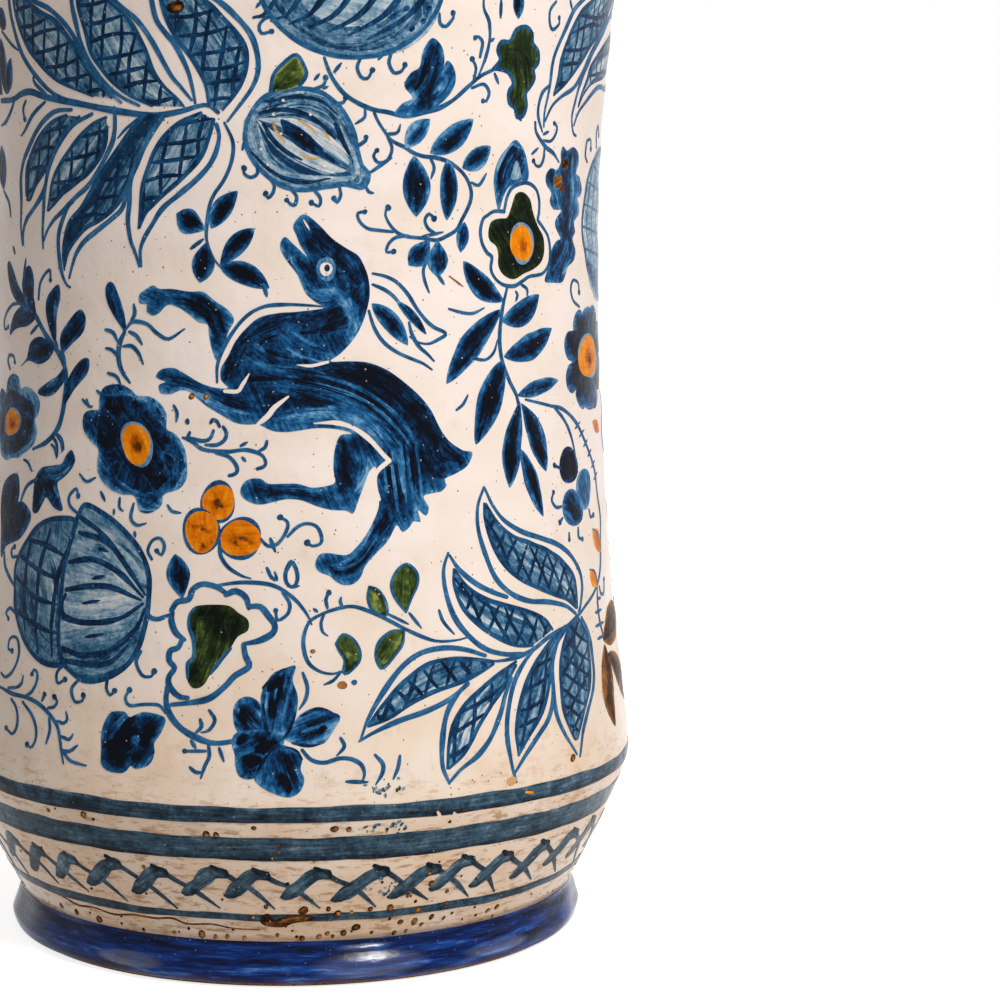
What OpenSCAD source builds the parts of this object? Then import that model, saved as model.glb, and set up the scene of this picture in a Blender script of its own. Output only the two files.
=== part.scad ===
// Albarello: a waisted, tin-glazed earthenware drug jar, thrown in sections on the wheel.
// The clay sections are luted together at stepped lap seams, and glaze coats cover them.
// Millimetres, +Z up. The origin is the centre of the resting face under the foot.

/* [Foot] */
// Inner radius of the foot ring, where the base sits in it
spigot_r = 54; // [42:1:60]
// Width of the foot ring, from the base to its widest edge
foot_w = 13.5; // [9:0.5:22]
// Height from the resting face to the cove above the foot
foot_h = 10; // [8:0.5:16]
// How far the cove, where the foot meets the heel, is in from the foot's edge
cove_in = 1.9; // [0.5:0.1:4]
// Radius of the rolled outer edge of the foot
foot_roll_r = 4; // [2.5:0.25:5]
// Height of the middle of that roll above the resting face
foot_roll_z = 3; // [1.5:0.25:3.5]
// Rounding in the cove
cove_round = 3; // [1:0.5:5]
// Depth of the recess under the base
recess_h = 4; // [2:0.5:6]

/* [Wall] */
// Height of the heel, from the cove to the lower shoulder
heel_h = 31; // [24:1:42]
// How far the heel swells beyond a straight cone
heel_swell = 0.9; // [0:0.1:2]
// Radius at the lower shoulder, before rounding
low_r = 79.6; // [75:0.2:86]
// Height from the lower shoulder to the waist
low_wall_h = 122; // [90:1:150]
// Power of the wall's curve below the waist
low_bow = 1.8; // [1.4:0.1:2.6]
// Radius at the waist
waist_r = 70.8; // [64:0.2:75]
// Height from the waist to the upper shoulder
high_wall_h = 90; // [70:1:120]
// Power of the wall's curve above the waist
high_bow = 1.6; // [1.4:0.1:2.6]
// How much narrower the upper shoulder is than the lower one
high_in = 1.6; // [-5:0.1:5]
// Rounding of both shoulders
shoulder_round = 9; // [5:0.5:14]

/* [Neck and rim] */
// Height from the upper shoulder to the neck
shoulder_h = 18; // [14:1:26]
// Outer radius of the neck
neck_r = 58; // [50:0.5:62]
// Height of the neck, from the shoulder to the underside of the lip
neck_h = 13; // [8:0.5:22]
// Rounding where the shoulder meets the neck
neck_round = 6; // [2:0.5:8]
// Radius of the rolled lip
lip_r = 5; // [4.5:0.25:7]

/* [Clay and glaze] */
// Thickness of the clay wall
wall_t = 6; // [4:0.25:7.5]
// Thickness of the clay floor
base_t = 8; // [6:0.5:11]
// Rounding inside, between the floor and the heel
floor_round = 8; // [4:0.5:12]
// Thickness of each glaze coat
glaze_t = 0.6; // [0.3:0.1:1.2]
// Height of the unglazed edge at the bottom of the foot
bare_foot_h = 1; // [0.5:0.25:2]
// Height of the stepped lap at each luted seam
lap_h = 6; // [3:0.5:8]

/* [Finger rings] */
// Spacing of the throwing rings inside the wall
ring_pitch = 9; // [6:0.5:14]
// Depth of the throwing rings, taken out of the lining
ring_depth = 0.25; // [0:0.05:0.28]

/* [Hidden] */

// Number of steps along each curved stretch of the outline
wall_steps = 16;
turn_steps = 6;
ring_steps = 4;
$fn = 128;

CLAY = [0.78, 0.58, 0.43];
COBALT = [0.07, 0.10, 0.33];
TIN_WHITE = [0.90, 0.85, 0.78];

// Radii that follow from the foot and the lower shoulder
foot_r = spigot_r + foot_w;
cove_r = foot_r - cove_in;
high_r = low_r - high_in;

// Heights of the seams and of the rim
cove_z = foot_h;
low_z = cove_z + heel_h;
waist_z = low_z + low_wall_h;
high_z = waist_z + high_wall_h;
neck_z = high_z + shoulder_h;
full_t = wall_t + 2 * glaze_t;
mouth_r = neck_r - full_t;
lip_mid = [mouth_r + lip_r, neck_z + neck_h + lip_r];
// Angle on the lip at which its underside meets the neck
lip_start = -acos(min(1, (neck_r - lip_mid.x) / lip_r));

// Outline tools: an outline is a list of [radius, height] points that rises from the foot to the rim

function unit(v) = v / norm(v);

function arc(mid, r, from, to, steps) =
    [for (i = [0 : steps]) let (a = from + (to - from) * i / steps) mid + r * [cos(a), sin(a)]];

// The arc of radius r that rounds the corner at b, between a and c
function rounded(a, b, c, r) =
    let (u = unit(a - b), v = unit(c - b), half = acos(u * v) / 2)
    let (run = min(r / tan(half), norm(a - b) / 2, norm(c - b) / 2), true_r = run * tan(half))
    let (mid = b + unit(u + v) * true_r / sin(half), p = b + u * run - mid, q = b + v * run - mid)
    let (from = atan2(p.y, p.x), sweep = atan2(q.y, q.x) - from)
    arc(mid, true_r, from, from + sweep - 360 * round(sweep / 360), turn_steps);

// The outline moved sideways by d, towards larger radii where d is positive
function moved(line, d) =
    [for (i = [0 : len(line) - 1])
        let (t = unit(line[min(i + 1, len(line) - 1)] - line[max(i - 1, 0)]))
        line[i] + d * [t.y, -t.x]];

// The points of an outline that stand higher than every point before them
function rising(line, i = 0, top = -1e6) =
    i == len(line) ? []
    : line[i].y > top ? concat([line[i]], rising(line, i + 1, line[i].y))
    : rising(line, i + 1, top);

function radius_at(line, z) = lookup(z, [for (p = line) [p.y, p.x]]);

// The stretch of a rising outline between two heights
function between(line, z0, z1) =
    concat([[radius_at(line, z0), z0]],
           [for (p = line) if (p.y > z0 && p.y < z1) p],
           [[radius_at(line, z1), z1]]);

function reversed(line) = [for (i = [len(line) - 1 : -1 : 0]) line[i]];

// The finished outside, from the foot to the crest of the lip

roll_mid = [foot_r - foot_roll_r, foot_roll_z];
cove = [cove_r, cove_z];
low_corner = [low_r, low_z];
high_corner = [high_r, high_z];
neck_corner = [neck_r, neck_z];

// Angle on the foot's roll where the outline starts, below the resting face
roll_start = -60;
// Angle on it where the straight line to the cove leaves it
roll_to_cove = cove - roll_mid;
roll_end = atan2(roll_to_cove.y, roll_to_cove.x) - acos(min(1, foot_roll_r / norm(roll_to_cove)));

function heel_point(t) =
    let (along = low_corner - cove)
    cove + along * t + 4 * heel_swell * t * (1 - t) * unit([along.y, -along.x]);

function wall_radius(z) =
    z < waist_z
        ? waist_r + (low_r - waist_r) * pow((waist_z - z) / low_wall_h, low_bow)
        : waist_r + (high_r - waist_r) * pow((z - waist_z) / high_wall_h, high_bow);

function wall_point(z) = [wall_radius(z), z];

// Where the heel and the wall take over from the rounded corners
heel_turn = 0.2;
wall_turn = shoulder_round / 2;

outside = rising(concat(
    arc(roll_mid, foot_roll_r, roll_start, roll_end, turn_steps),
    rounded(roll_mid + foot_roll_r * [cos(roll_end), sin(roll_end)], cove, heel_point(heel_turn), cove_round),
    [for (t = [heel_turn : 0.1 : 1 - heel_turn]) heel_point(t)],
    rounded(heel_point(1 - heel_turn), low_corner, wall_point(low_z + wall_turn), shoulder_round),
    [for (i = [0 : wall_steps]) wall_point(low_z + wall_turn + (low_wall_h - wall_turn) * i / wall_steps)],
    [for (i = [1 : wall_steps]) wall_point(waist_z + (high_wall_h - wall_turn) * i / wall_steps)],
    rounded(wall_point(high_z - wall_turn), high_corner, neck_corner, shoulder_round),
    rounded(high_corner, neck_corner, neck_corner + [0, neck_h], neck_round),
    arc(lip_mid, lip_r, lip_start, 90, 2 * turn_steps)));

// The finished inside, from the middle of the floor to the crest of the lip

floor_z = recess_h + base_t + glaze_t;
wall_inside = rising(moved(outside, -full_t));
floor_corner = [radius_at(wall_inside, floor_z), floor_z];
heel_inside = [radius_at(wall_inside, floor_z + 2 * floor_round), floor_z + 2 * floor_round];
floor_turn = rounded([0, floor_z], floor_corner, heel_inside, floor_round);
inside_start = floor_turn[turn_steps].y;

inside = concat(
    [[0, floor_z]],
    floor_turn,
    [for (p = wall_inside) if (p.y > inside_start && p.y < lip_mid.y) p],
    arc(lip_mid, lip_r, 180, 90, turn_steps));

// The clay's own faces lie one coat under the finished ones, and the laps split its wall in half
clay_outside = rising(moved(outside, -glaze_t));
clay_inside = moved(inside, glaze_t);
lap_line = rising(moved(outside, -full_t / 2));

// The step at a luted seam, from the outer face in to the inner face
function seam(z) =
    concat([[radius_at(clay_outside, z), z]],
           between(lap_line, z, z + lap_h),
           [[radius_at(clay_inside, z + lap_h), z + lap_h]]);

// A clay ring between two seams
module clay_ring(z0, z1) {
    rotate_extrude()
        polygon(concat(
            between(clay_outside, z0, z1),
            seam(z1),
            reversed(between(clay_inside, z0 + lap_h, z1 + lap_h)),
            reversed(seam(z0))));
}

// A glaze coat over the outside between two heights
module outer_coat(z0, z1) {
    rotate_extrude()
        polygon(concat(between(outside, z0, z1), reversed(between(clay_outside, z0, z1))));
}

// The pieces, from the foot up

module foot_ring() {
    color(CLAY)
        rotate_extrude()
            polygon(concat(between(clay_outside, 0, cove_z), [[spigot_r, cove_z], [spigot_r, 0]]));
}

module base_bowl() {
    color(CLAY)
        rotate_extrude()
            polygon(concat(
                [[0, recess_h], [spigot_r, recess_h], [spigot_r, cove_z]],
                between(clay_outside, cove_z, low_z),
                seam(low_z),
                reversed([for (p = clay_inside) if (p.y < low_z + lap_h) p])));
}

module drum_wall() {
    color(CLAY) clay_ring(low_z, high_z);
}

module shoulder_ring() {
    color(CLAY) clay_ring(high_z, neck_z);
}

module neck_collar() {
    color(CLAY)
        rotate_extrude()
            polygon(concat(
                [for (p = clay_outside) if (p.y > neck_z) p],
                reversed([for (p = clay_inside) if (p.y > neck_z + lap_h) p]),
                reversed(seam(neck_z))));
}

module foot_glaze() {
    color(COBALT) outer_coat(bare_foot_h, cove_z);
}

module white_glaze() {
    color(TIN_WHITE) outer_coat(cove_z, neck_z + neck_h);
}

module rim_glaze() {
    rim_start = neck_z + neck_h;
    color(COBALT)
        rotate_extrude()
            polygon(concat(
                [[radius_at(outside, rim_start), rim_start]],
                [for (p = outside) if (p.y > rim_start) p],
                reversed([for (p = clay_outside) if (p.y > rim_start) p]),
                [[radius_at(clay_outside, rim_start), rim_start]]));
}

// The lining's face carries the finger rings left by throwing, which end short of the floor and the neck
function ringed(p) =
    let (first = low_z, last = high_z, rings = round((last - first) / ring_pitch))
    p.y < first || p.y > last ? p
    : p + [ring_depth * (1 - cos(360 * rings * (p.y - first) / (last - first))), 0];

ring_step = ring_pitch / ring_steps / 2;
lining_face = concat(
    [for (p = inside) if (p.y <= low_z) p],
    [for (z = [low_z : ring_step : high_z]) ringed([radius_at(wall_inside, z), z])],
    [for (p = inside) if (p.y > high_z) p]);

module lining_glaze() {
    color(TIN_WHITE)
        rotate_extrude()
            polygon(concat(lining_face, reversed(clay_inside)));
}

foot_ring();
base_bowl();
drum_wall();
shoulder_ring();
neck_collar();
foot_glaze();
white_glaze();
rim_glaze();
lining_glaze();
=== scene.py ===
"""Albarello: a waisted drug jar of tin-glazed earthenware, painted in cobalt, green and orange."""

import math
import random

import bpy
import numpy as np
from mathutils import Matrix, Vector
from mathutils.geometry import delaunay_2d_cdt


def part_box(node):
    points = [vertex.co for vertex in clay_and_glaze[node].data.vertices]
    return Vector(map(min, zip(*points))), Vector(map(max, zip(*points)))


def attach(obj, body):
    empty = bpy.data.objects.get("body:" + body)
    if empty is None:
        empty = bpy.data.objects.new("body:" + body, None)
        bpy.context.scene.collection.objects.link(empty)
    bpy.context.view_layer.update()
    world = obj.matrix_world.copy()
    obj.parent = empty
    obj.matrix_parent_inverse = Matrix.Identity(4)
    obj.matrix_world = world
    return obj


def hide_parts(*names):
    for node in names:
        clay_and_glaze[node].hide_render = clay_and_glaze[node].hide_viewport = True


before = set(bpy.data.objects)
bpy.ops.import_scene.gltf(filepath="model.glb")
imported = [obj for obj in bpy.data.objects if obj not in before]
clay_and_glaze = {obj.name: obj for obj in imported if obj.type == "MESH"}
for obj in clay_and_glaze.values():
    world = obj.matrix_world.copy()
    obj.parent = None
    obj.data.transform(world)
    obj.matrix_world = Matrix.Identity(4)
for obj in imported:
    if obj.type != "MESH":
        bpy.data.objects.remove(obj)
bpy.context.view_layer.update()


# The clay body
# Buff earthenware, thrown in sections and luted together, then fired once to a soft, porous biscuit.
# It shows only under the foot and along the foot's bare resting edge, where it is rubbed and stained.

def shade(red, green, blue):
    """A colour as it is read off a screen, 0 to 255, in the renderer's own units."""
    parts = [v / 255 for v in (red, green, blue)]
    linear = [v / 12.92 if v < 0.04045 else ((v + 0.055) / 1.055) ** 2.4 for v in parts]
    return (*linear, 1.0)


def add_node(tree, kind, inputs=None, **settings):
    """Adds a shader node. An input is a number, a colour or the socket that feeds it."""
    made = tree.nodes.new("ShaderNode" + kind)
    for name, value in settings.items():
        setattr(made, name, value)
    for name, value in (inputs or {}).items():
        if isinstance(value, bpy.types.NodeSocket):
            tree.links.new(value, made.inputs[name])
        else:
            made.inputs[name].default_value = value
    return made


def mixed(tree, amount, under, over):
    """The colour under, covered by the colour over as far as amount says."""
    return add_node(tree, "Mix", {0: amount, 6: under, 7: over}, data_type="RGBA").outputs[2]


def combined(tree, kind, a, b):
    """Two values put together by one sum, product or other operation."""
    return add_node(tree, "Math", {0: a, 1: b}, operation=kind).outputs[0]


def clamped(tree, value, low, high, to_low=0.0, to_high=1.0):
    """The value's range from low to high, spread over to_low to to_high."""
    made = add_node(tree, "MapRange", {"Value": value, "From Min": low, "From Max": high})
    made.inputs["To Min"].default_value = to_low
    made.inputs["To Max"].default_value = to_high
    return made.outputs[0]


def ramp(tree, value, stops):
    """A colour that runs through the stops, each a place from 0 to 1 and a colour read off a screen."""
    made = add_node(tree, "ValToRGB", {"Fac": value})
    elements = made.color_ramp.elements
    while len(elements) < len(stops):
        elements.new(0.5)
    for element, (place, colour) in zip(elements, stops):
        element.position = place
        element.color = shade(*colour)
    return made.outputs[0]


def noise(tree, where, scale, detail=4.0, roughness=0.55):
    return add_node(tree, "TexNoise", {"Vector": where, "Scale": scale, "Detail": detail,
                                       "Roughness": roughness}).outputs[0]


def new_group(name, takes, gives):
    """A node group with named sockets, each a name, a kind and, for what it takes, a first value."""
    tree = bpy.data.node_groups.new(name, "ShaderNodeTree")
    for title, kind, value in takes:
        socket = tree.interface.new_socket(title, in_out="INPUT", socket_type="NodeSocket" + kind)
        socket.default_value = value
    for title, kind in gives:
        tree.interface.new_socket(title, in_out="OUTPUT", socket_type="NodeSocket" + kind)
    inner = tree.nodes.new("NodeGroupInput")
    outer = tree.nodes.new("NodeGroupOutput")
    return tree, inner.outputs, outer.inputs


def placed_group(tree, group, inputs):
    return add_node(tree, "Group", inputs, node_tree=group).outputs


def new_material(name, **sockets):
    """A material with one Principled shader, whose plain sockets are set here."""
    material = bpy.data.materials.new(name)
    material.use_nodes = True
    tree = material.node_tree
    shader = tree.nodes["Principled BSDF"]
    for title, value in sockets.items():
        shader.inputs[title.replace("_", " ")].default_value = value
    where = tree.nodes.new("ShaderNodeTexCoord").outputs["Object"]
    return material, tree, shader, where


def raise_surface(tree, shader, height, depth):
    """Lets a height, times a depth in metres, tilt the shader's surface. Gives back the tilt."""
    tilt = add_node(tree, "Bump", {"Height": height, "Distance": depth}).outputs[0]
    tree.links.new(tilt, shader.inputs["Normal"])
    return tilt


def dressed(node_name, material):
    """Gives a section of the jar one material, over the whole of it."""
    node = clay_and_glaze[node_name]
    node.data.materials.clear()
    node.data.materials.append(material)


# Grit and dirt that settle in any fired surface: a mask of dark specks and a mask of broad clouds.
grit, grit_in, grit_out = new_group(
    "grit", [("Place", "Vector", (0, 0, 0)), ("Speck size", "Float", 900.0), ("Amount", "Float", 0.3)],
    [("Specks", "Float"), ("Clouds", "Float")])
speck_cells = add_node(grit, "TexVoronoi", {"Vector": grit_in["Place"], "Scale": grit_in["Speck size"]})
speck_gate = noise(grit, grit_in["Place"], 160.0, 3.0)
speck_room = combined(grit, "MULTIPLY", speck_gate, grit_in["Amount"])
grit.links.new(combined(grit, "LESS_THAN", speck_cells.outputs["Distance"], speck_room), grit_out["Specks"])
grit.links.new(clamped(grit, noise(grit, grit_in["Place"], 55.0, 6.0), 0.35, 0.65), grit_out["Clouds"])

biscuit, tree, shader, where = new_material("fired_clay", Roughness=0.85, Specular_IOR_Level=0.25)
dirt = placed_group(tree, grit, {"Place": where, "Speck size": 1100.0, "Amount": 0.55})
clay_colour = mixed(tree, dirt["Clouds"], shade(178, 128, 88), shade(120, 78, 50))
clay_colour = mixed(tree, dirt["Specks"], clay_colour, shade(64, 44, 34))
tree.links.new(clay_colour, shader.inputs["Base Color"])
raise_surface(tree, shader, noise(tree, where, 1400.0, 5.0), 0.0004)

for clay_piece in ("foot_ring", "base_bowl", "drum_wall", "shoulder_ring", "neck_collar"):
    dressed(clay_piece, biscuit)


# The lining
# A thin coat of the same tin-white glaze, poured in, swirled round and poured out again.
# It follows the finger rings of the throwing, and gathers dust on the floor of the jar.

lining, tree, shader, where = new_material("lining_glaze", Coat_Weight=0.4, Coat_Roughness=0.12)
dirt = placed_group(tree, grit, {"Place": where, "Speck size": 700.0, "Amount": 0.32})
height = add_node(tree, "SeparateXYZ", {"Vector": where}).outputs["Z"]
dust = combined(tree, "MULTIPLY", clamped(tree, height, 0.10, 0.012, 0.15, 0.75), dirt["Clouds"])
lining_colour = mixed(tree, dirt["Clouds"], shade(226, 208, 188), shade(214, 192, 166))
lining_colour = mixed(tree, dust, lining_colour, shade(176, 146, 112))
lining_colour = mixed(tree, dirt["Specks"], lining_colour, shade(120, 84, 56))
tree.links.new(lining_colour, shader.inputs["Base Color"])
tree.links.new(clamped(tree, dirt["Clouds"], 0.0, 1.0, 0.22, 0.42), shader.inputs["Roughness"])
raise_surface(tree, shader, noise(tree, where, 160.0, 3.0), 0.0006)
dressed("lining_glaze", lining)


# The white glaze
# Lead glaze made opaque and white with tin oxide, which carries the painting. It was dipped on, and it
# waves a little over the thrown wall, grows warmer and darker low down, and has pinholes and specks of iron.

WAVE = 0.00022
COAT = 0.00055
SUNK = -0.00005
SHEET_R = 0.072


def outer_line(node):
    """The heights and radii of a turned node's outer face, from its foot up."""
    found = {}
    for face in node.data.polygons:
        out = (face.normal.x * face.center.x + face.normal.y * face.center.y) / math.hypot(*face.center.xy)
        if out > 0.2:
            for corner in face.vertices:
                place = node.data.vertices[corner].co
                found[round(place.z, 5)] = math.hypot(place.x, place.y)
    heights = np.array(sorted(found))
    return heights, np.array([found[h] for h in heights])


def evened(heights, radii):
    """The same outline every half millimetre, with the corners between its stretches eased."""
    fine = np.arange(heights[0] - 0.006, heights[-1] + 0.006, 0.0005)
    line = np.interp(fine, heights, radii)
    low, high = fine < heights[0], fine > heights[-1]
    line[low] = 2 * radii[0] - np.interp(2 * heights[0] - fine[low], heights, radii)
    line[high] = 2 * radii[-1] - np.interp(2 * heights[-1] - fine[high], heights, radii)
    reach = np.arange(-6, 7)
    weights = np.exp(-(reach / 2.2) ** 2)
    return fine, np.convolve(np.pad(line, 6, mode="edge"), weights / weights.sum(), "valid")


wall_heights, wall_radii = evened(*outer_line(clay_and_glaze["white_glaze"]))
WALL_LOW, WALL_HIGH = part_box("white_glaze")[0].z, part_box("white_glaze")[1].z


def wall_radius(angle, z):
    """Radius of the glaze's face: the thrown outline, a slight ovalness and the waves of the dipping."""
    waves = (0.5 * np.sin(2 * angle + 0.7) + 0.35 * np.sin(3 * angle + 70 * z)
             + 0.45 * np.sin(520 * z + 1.3 * np.sin(angle)) + 0.3 * np.sin(5 * angle - 130 * z + 2))
    ends = np.clip(np.minimum(z - WALL_LOW, WALL_HIGH - z) / 0.006, 0, 1)
    return np.interp(z, wall_heights, wall_radii) + WAVE * waves * ends


def wall_face(angle, z, proud):
    """Points and outward directions at a height over the glaze's face. Angle 0 is the front."""
    step_a, step_z = 0.004, 0.0004
    r = wall_radius(angle, z)
    slope_a = (wall_radius(angle + step_a, z) - wall_radius(angle - step_a, z)) / (2 * step_a * r)
    slope_z = (wall_radius(angle, z + step_z) - wall_radius(angle, z - step_z)) / (2 * step_z)
    out = np.stack((np.sin(angle), -np.cos(angle), np.zeros_like(angle)), -1)
    along = np.stack((np.cos(angle), np.sin(angle), np.zeros_like(angle)), -1)
    normal = out - along * slope_a[..., None] - np.array((0, 0, 1.0)) * slope_z[..., None]
    normal /= np.linalg.norm(normal, axis=-1, keepdims=True)
    points = out * r[..., None]
    points[..., 2] = z
    return points + normal * np.asarray(proud)[..., None], normal


def closed_ring_mesh(name, rings, turn):
    """A closed skin over rings of points, as one object. The first half of the rings is its outer face
    and the second half its inner face, and the two edges between them stay crisp."""
    count = len(rings)
    half = count // 2
    faces = []
    for i in range(count):
        j = (i + 1) % count
        for k in range(turn):
            m = (k + 1) % turn
            faces.append((i * turn + k, i * turn + m, j * turn + m, j * turn + k))
    mesh = bpy.data.meshes.new(name)
    mesh.from_pydata(np.concatenate(rings).tolist(), [], faces)
    mesh.polygons.foreach_set("use_smooth", [i % half != half - 1 for i in range(count) for k in range(turn)])
    piece = bpy.data.objects.new(name, mesh)
    bpy.context.scene.collection.objects.link(piece)
    return piece


def glaze_skin(tree, where):
    """The glaze's face from close by: slow swells with a fine grain."""
    grain = combined(tree, "MULTIPLY", noise(tree, where, 1500.0), 0.12)
    return combined(tree, "ADD", noise(tree, where, 220.0, 2.0), grain)


SKIN_DEPTH = 0.0002
TURN_STEPS = 180
turn_angles = np.arange(TURN_STEPS) * 2 * math.pi / TURN_STEPS
coat_heights = np.linspace(WALL_LOW, WALL_HIGH, 161)
coat_rings, clay_rings = ([wall_face(turn_angles, np.full(TURN_STEPS, z), np.full(TURN_STEPS, proud))[0]
                           for z in coat_heights] for proud in (SUNK, -COAT))
for rings in (coat_rings, clay_rings):
    rings[0][:, 2] = WALL_LOW
    rings[-1][:, 2] = WALL_HIGH
white_wall = closed_ring_mesh("white_wall", coat_rings + clay_rings[::-1], TURN_STEPS)

tin_white, tree, shader, where = new_material("tin_white_glaze", Specular_IOR_Level=0.12)
dirt = placed_group(tree, grit, {"Place": where, "Speck size": 520.0, "Amount": 0.16})
height = add_node(tree, "SeparateXYZ", {"Vector": where}).outputs["Z"]
# Towards the bottom of the jar the white is painted warmer and darker.
warmth = combined(tree, "ADD", clamped(tree, height, 0.105, 0.020, 0.0, 0.62),
                clamped(tree, dirt["Clouds"], 0.0, 1.0, -0.1, 0.3))
white_colour = ramp(tree, warmth, [(0.0, (240, 225, 216)), (0.4, (233, 215, 198)), (1.0, (222, 188, 154))])
stains = clamped(tree, noise(tree, where, 120.0, 7.0, 0.72), 0.56, 0.74, 0.0, 0.8)
stains = combined(tree, "MULTIPLY", stains, clamped(tree, height, 0.085, 0.025, 0.22, 1.0))
white_colour = mixed(tree, stains, white_colour, shade(190, 140, 88))
smear_place = add_node(tree, "Mapping", {"Vector": where, "Scale": (1.0, 1.0, 4.0)}).outputs[0]
smears = clamped(tree, noise(tree, smear_place, 190.0, 8.0, 0.7), 0.52, 0.62, 0.0, 0.8)
smears = combined(tree, "MULTIPLY", smears, clamped(tree, height, 0.052, 0.036))
white_colour = mixed(tree, smears, white_colour, shade(166, 118, 70))
white_colour = mixed(tree, dirt["Specks"], white_colour, shade(112, 70, 40))
tree.links.new(white_colour, shader.inputs["Base Color"])
tree.links.new(clamped(tree, dirt["Clouds"], 0.0, 1.0, 0.16, 0.30), shader.inputs["Roughness"])
raise_surface(tree, shader, glaze_skin(tree, where), SKIN_DEPTH)
white_wall.data.materials.append(tin_white)
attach(white_wall, "root")
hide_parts("white_glaze")


# The painter's brush
# The raw glaze was painted with a soft brush on the wheel and in the hand, and one firing sank the colours
# into it. The sheet is the wall laid flat, in millimetres: distance round from the front, and height.

FULL_TURN = 2 * math.pi * SHEET_R * 1000
SHEET_LEFT = -88.0
HAIR_STEP = 2.6
hand = random.Random(7)
painted = []
spot = {"turn": np.eye(2), "move": np.zeros(2)}


def paint_at(motif, about=(0, 0), to=(0, 0), turn=0, flip=1):
    """Paints a motif moved from one place to another, turned in degrees or mirrored."""
    angle = math.radians(turn)
    turned = np.array(((math.cos(angle), -math.sin(angle)), (math.sin(angle), math.cos(angle))))
    spot["turn"] = turned @ np.diag((flip, 1))
    spot["move"] = np.array(to) - spot["turn"] @ np.array(about)
    motif()
    spot["turn"], spot["move"] = np.eye(2), np.zeros(2)


def lay(outline, colour, load, within=False):
    """Lays a closed outline of paint on the sheet, over what is there. Load is how full the brush was.
    Within keeps it to places that already have the colour."""
    painted.append((np.asarray(outline) @ spot["turn"].T + spot["move"], colour, load, within))


def pairs(numbers):
    return np.reshape(np.asarray(numbers, float), (-1, 2))


def flowing(points, closed=False, step=0.8):
    """A smooth line through the points, with a new point about every step."""
    p = pairs(points)
    before, after = (p[-1:], p[:2]) if closed else (2 * p[:1] - p[1:2], 2 * p[-1:] - p[-2:-1])
    q = np.vstack((before, p, after))
    line = []
    for a, b, c, d in zip(q[:-3], q[1:-2], q[2:-1], q[3:]):
        count = max(2, math.ceil(math.dist(b, c) / step))
        t = (np.arange(count) / count)[:, None]
        line.append(b + 0.5 * t * (c - a + t * (2 * a - 5 * b + 4 * c - d + t * (3 * (b - c) + d - a))))
    return np.vstack(line if closed else line + [p[-1:]])


def shaky(run):
    """A slow, small unevenness along a line, as the hand gives it."""
    sways = [hand.uniform(0.3, 1) * np.sin(run * hand.uniform(0.25, 1.1) + hand.uniform(0, 6.3))
             for _ in range(3)]
    return sum(sways) / 2


def stroke(points, width=1.0, start=0.7, end=0.45, colour="line", load=0.5, within=False, step=0.8):
    """A brush line that swells from its start, thins to its end and has round ends."""
    path = flowing(points, step=step)
    steps = np.hypot(*np.diff(path, axis=0).T)
    run = np.concatenate(((0,), np.cumsum(steps)))
    share = run / run[-1]
    swell = np.minimum(1, start + (1 - start) * share / 0.2)
    fade = np.minimum(1, end + (1 - end) * (1 - share) / 0.3)
    half = width / 2 * (swell * fade) * (1 + 0.13 * shaky(run))
    ahead = np.gradient(path, axis=0)
    ahead /= np.maximum(np.hypot(*ahead.T), 1e-9)[:, None]
    side = np.stack((-ahead[:, 1], ahead[:, 0]), 1)
    sweep = np.linspace(0, math.pi, 6 if step < 1 else 3)[1:-1, None]
    last = path[-1] + half[-1] * (np.cos(sweep) * side[-1] + np.sin(sweep) * ahead[-1])
    first = path[0] - half[0] * (np.cos(sweep) * side[0] + np.sin(sweep) * ahead[0])
    left, right = path + side * half[:, None], path - side * half[:, None]
    lay(np.vstack((left, last, right[::-1], first)), colour, load, within)


def blob(x, z, wide, tall=None, turn=0, colour="line", load=0.6, within=False):
    """A round dab of the brush."""
    sweep = np.arange(0, 2 * math.pi, 2 * math.pi / max(10, int(wide * 7)))
    angle = math.radians(turn)
    rim = 1 + 0.05 * np.sin(2 * sweep + hand.uniform(0, 6)) + 0.04 * np.sin(3 * sweep + hand.uniform(0, 6))
    p, q = np.cos(sweep) * wide * rim, np.sin(sweep) * (tall or wide) * rim
    across, up = math.cos(angle), math.sin(angle)
    lay(np.stack((x + p * across - q * up, z + p * up + q * across), 1), colour, load, within)


def hook(points):
    """A thin tendril that ends in a bead."""
    stroke(points, 0.75, 0.8, 0.7)
    blob(points[-2], points[-1], 0.62 * hand.uniform(0.85, 1.15))


def hooks(*tendrils):
    for points in tendrils:
        hook(points)


def strokes(width, *lines, **how):
    for points in lines:
        stroke(points, width, **how)


def patch(points, colour="dark", load=0.5):
    """A shape filled in with the full brush."""
    lay(flowing(points, closed=True), colour, load)


def hairs(points, spread, count, low, high, colour="dark"):
    """The marks of single hairs that go the same way over a painted shape, some fuller and some drier."""
    guide = flowing(points)
    ahead = np.gradient(guide, axis=0)
    side = np.stack((-ahead[:, 1], ahead[:, 0]), 1) / np.maximum(np.hypot(*ahead.T), 1e-9)[:, None]
    for _ in range(count):
        first = hand.uniform(0, 0.5)
        last = min(1.0, first + hand.uniform(0.35, 0.8))
        stretch = np.linspace(first, last, 5) * (len(guide) - 1)
        chosen = stretch.astype(int)
        line = guide[chosen] + side[chosen] * spread * hand.uniform(-1, 1)
        stroke(line, hand.uniform(0.5, 1.2), 0.3, 0.3, colour, hand.uniform(low, high), True, HAIR_STEP)


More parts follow.
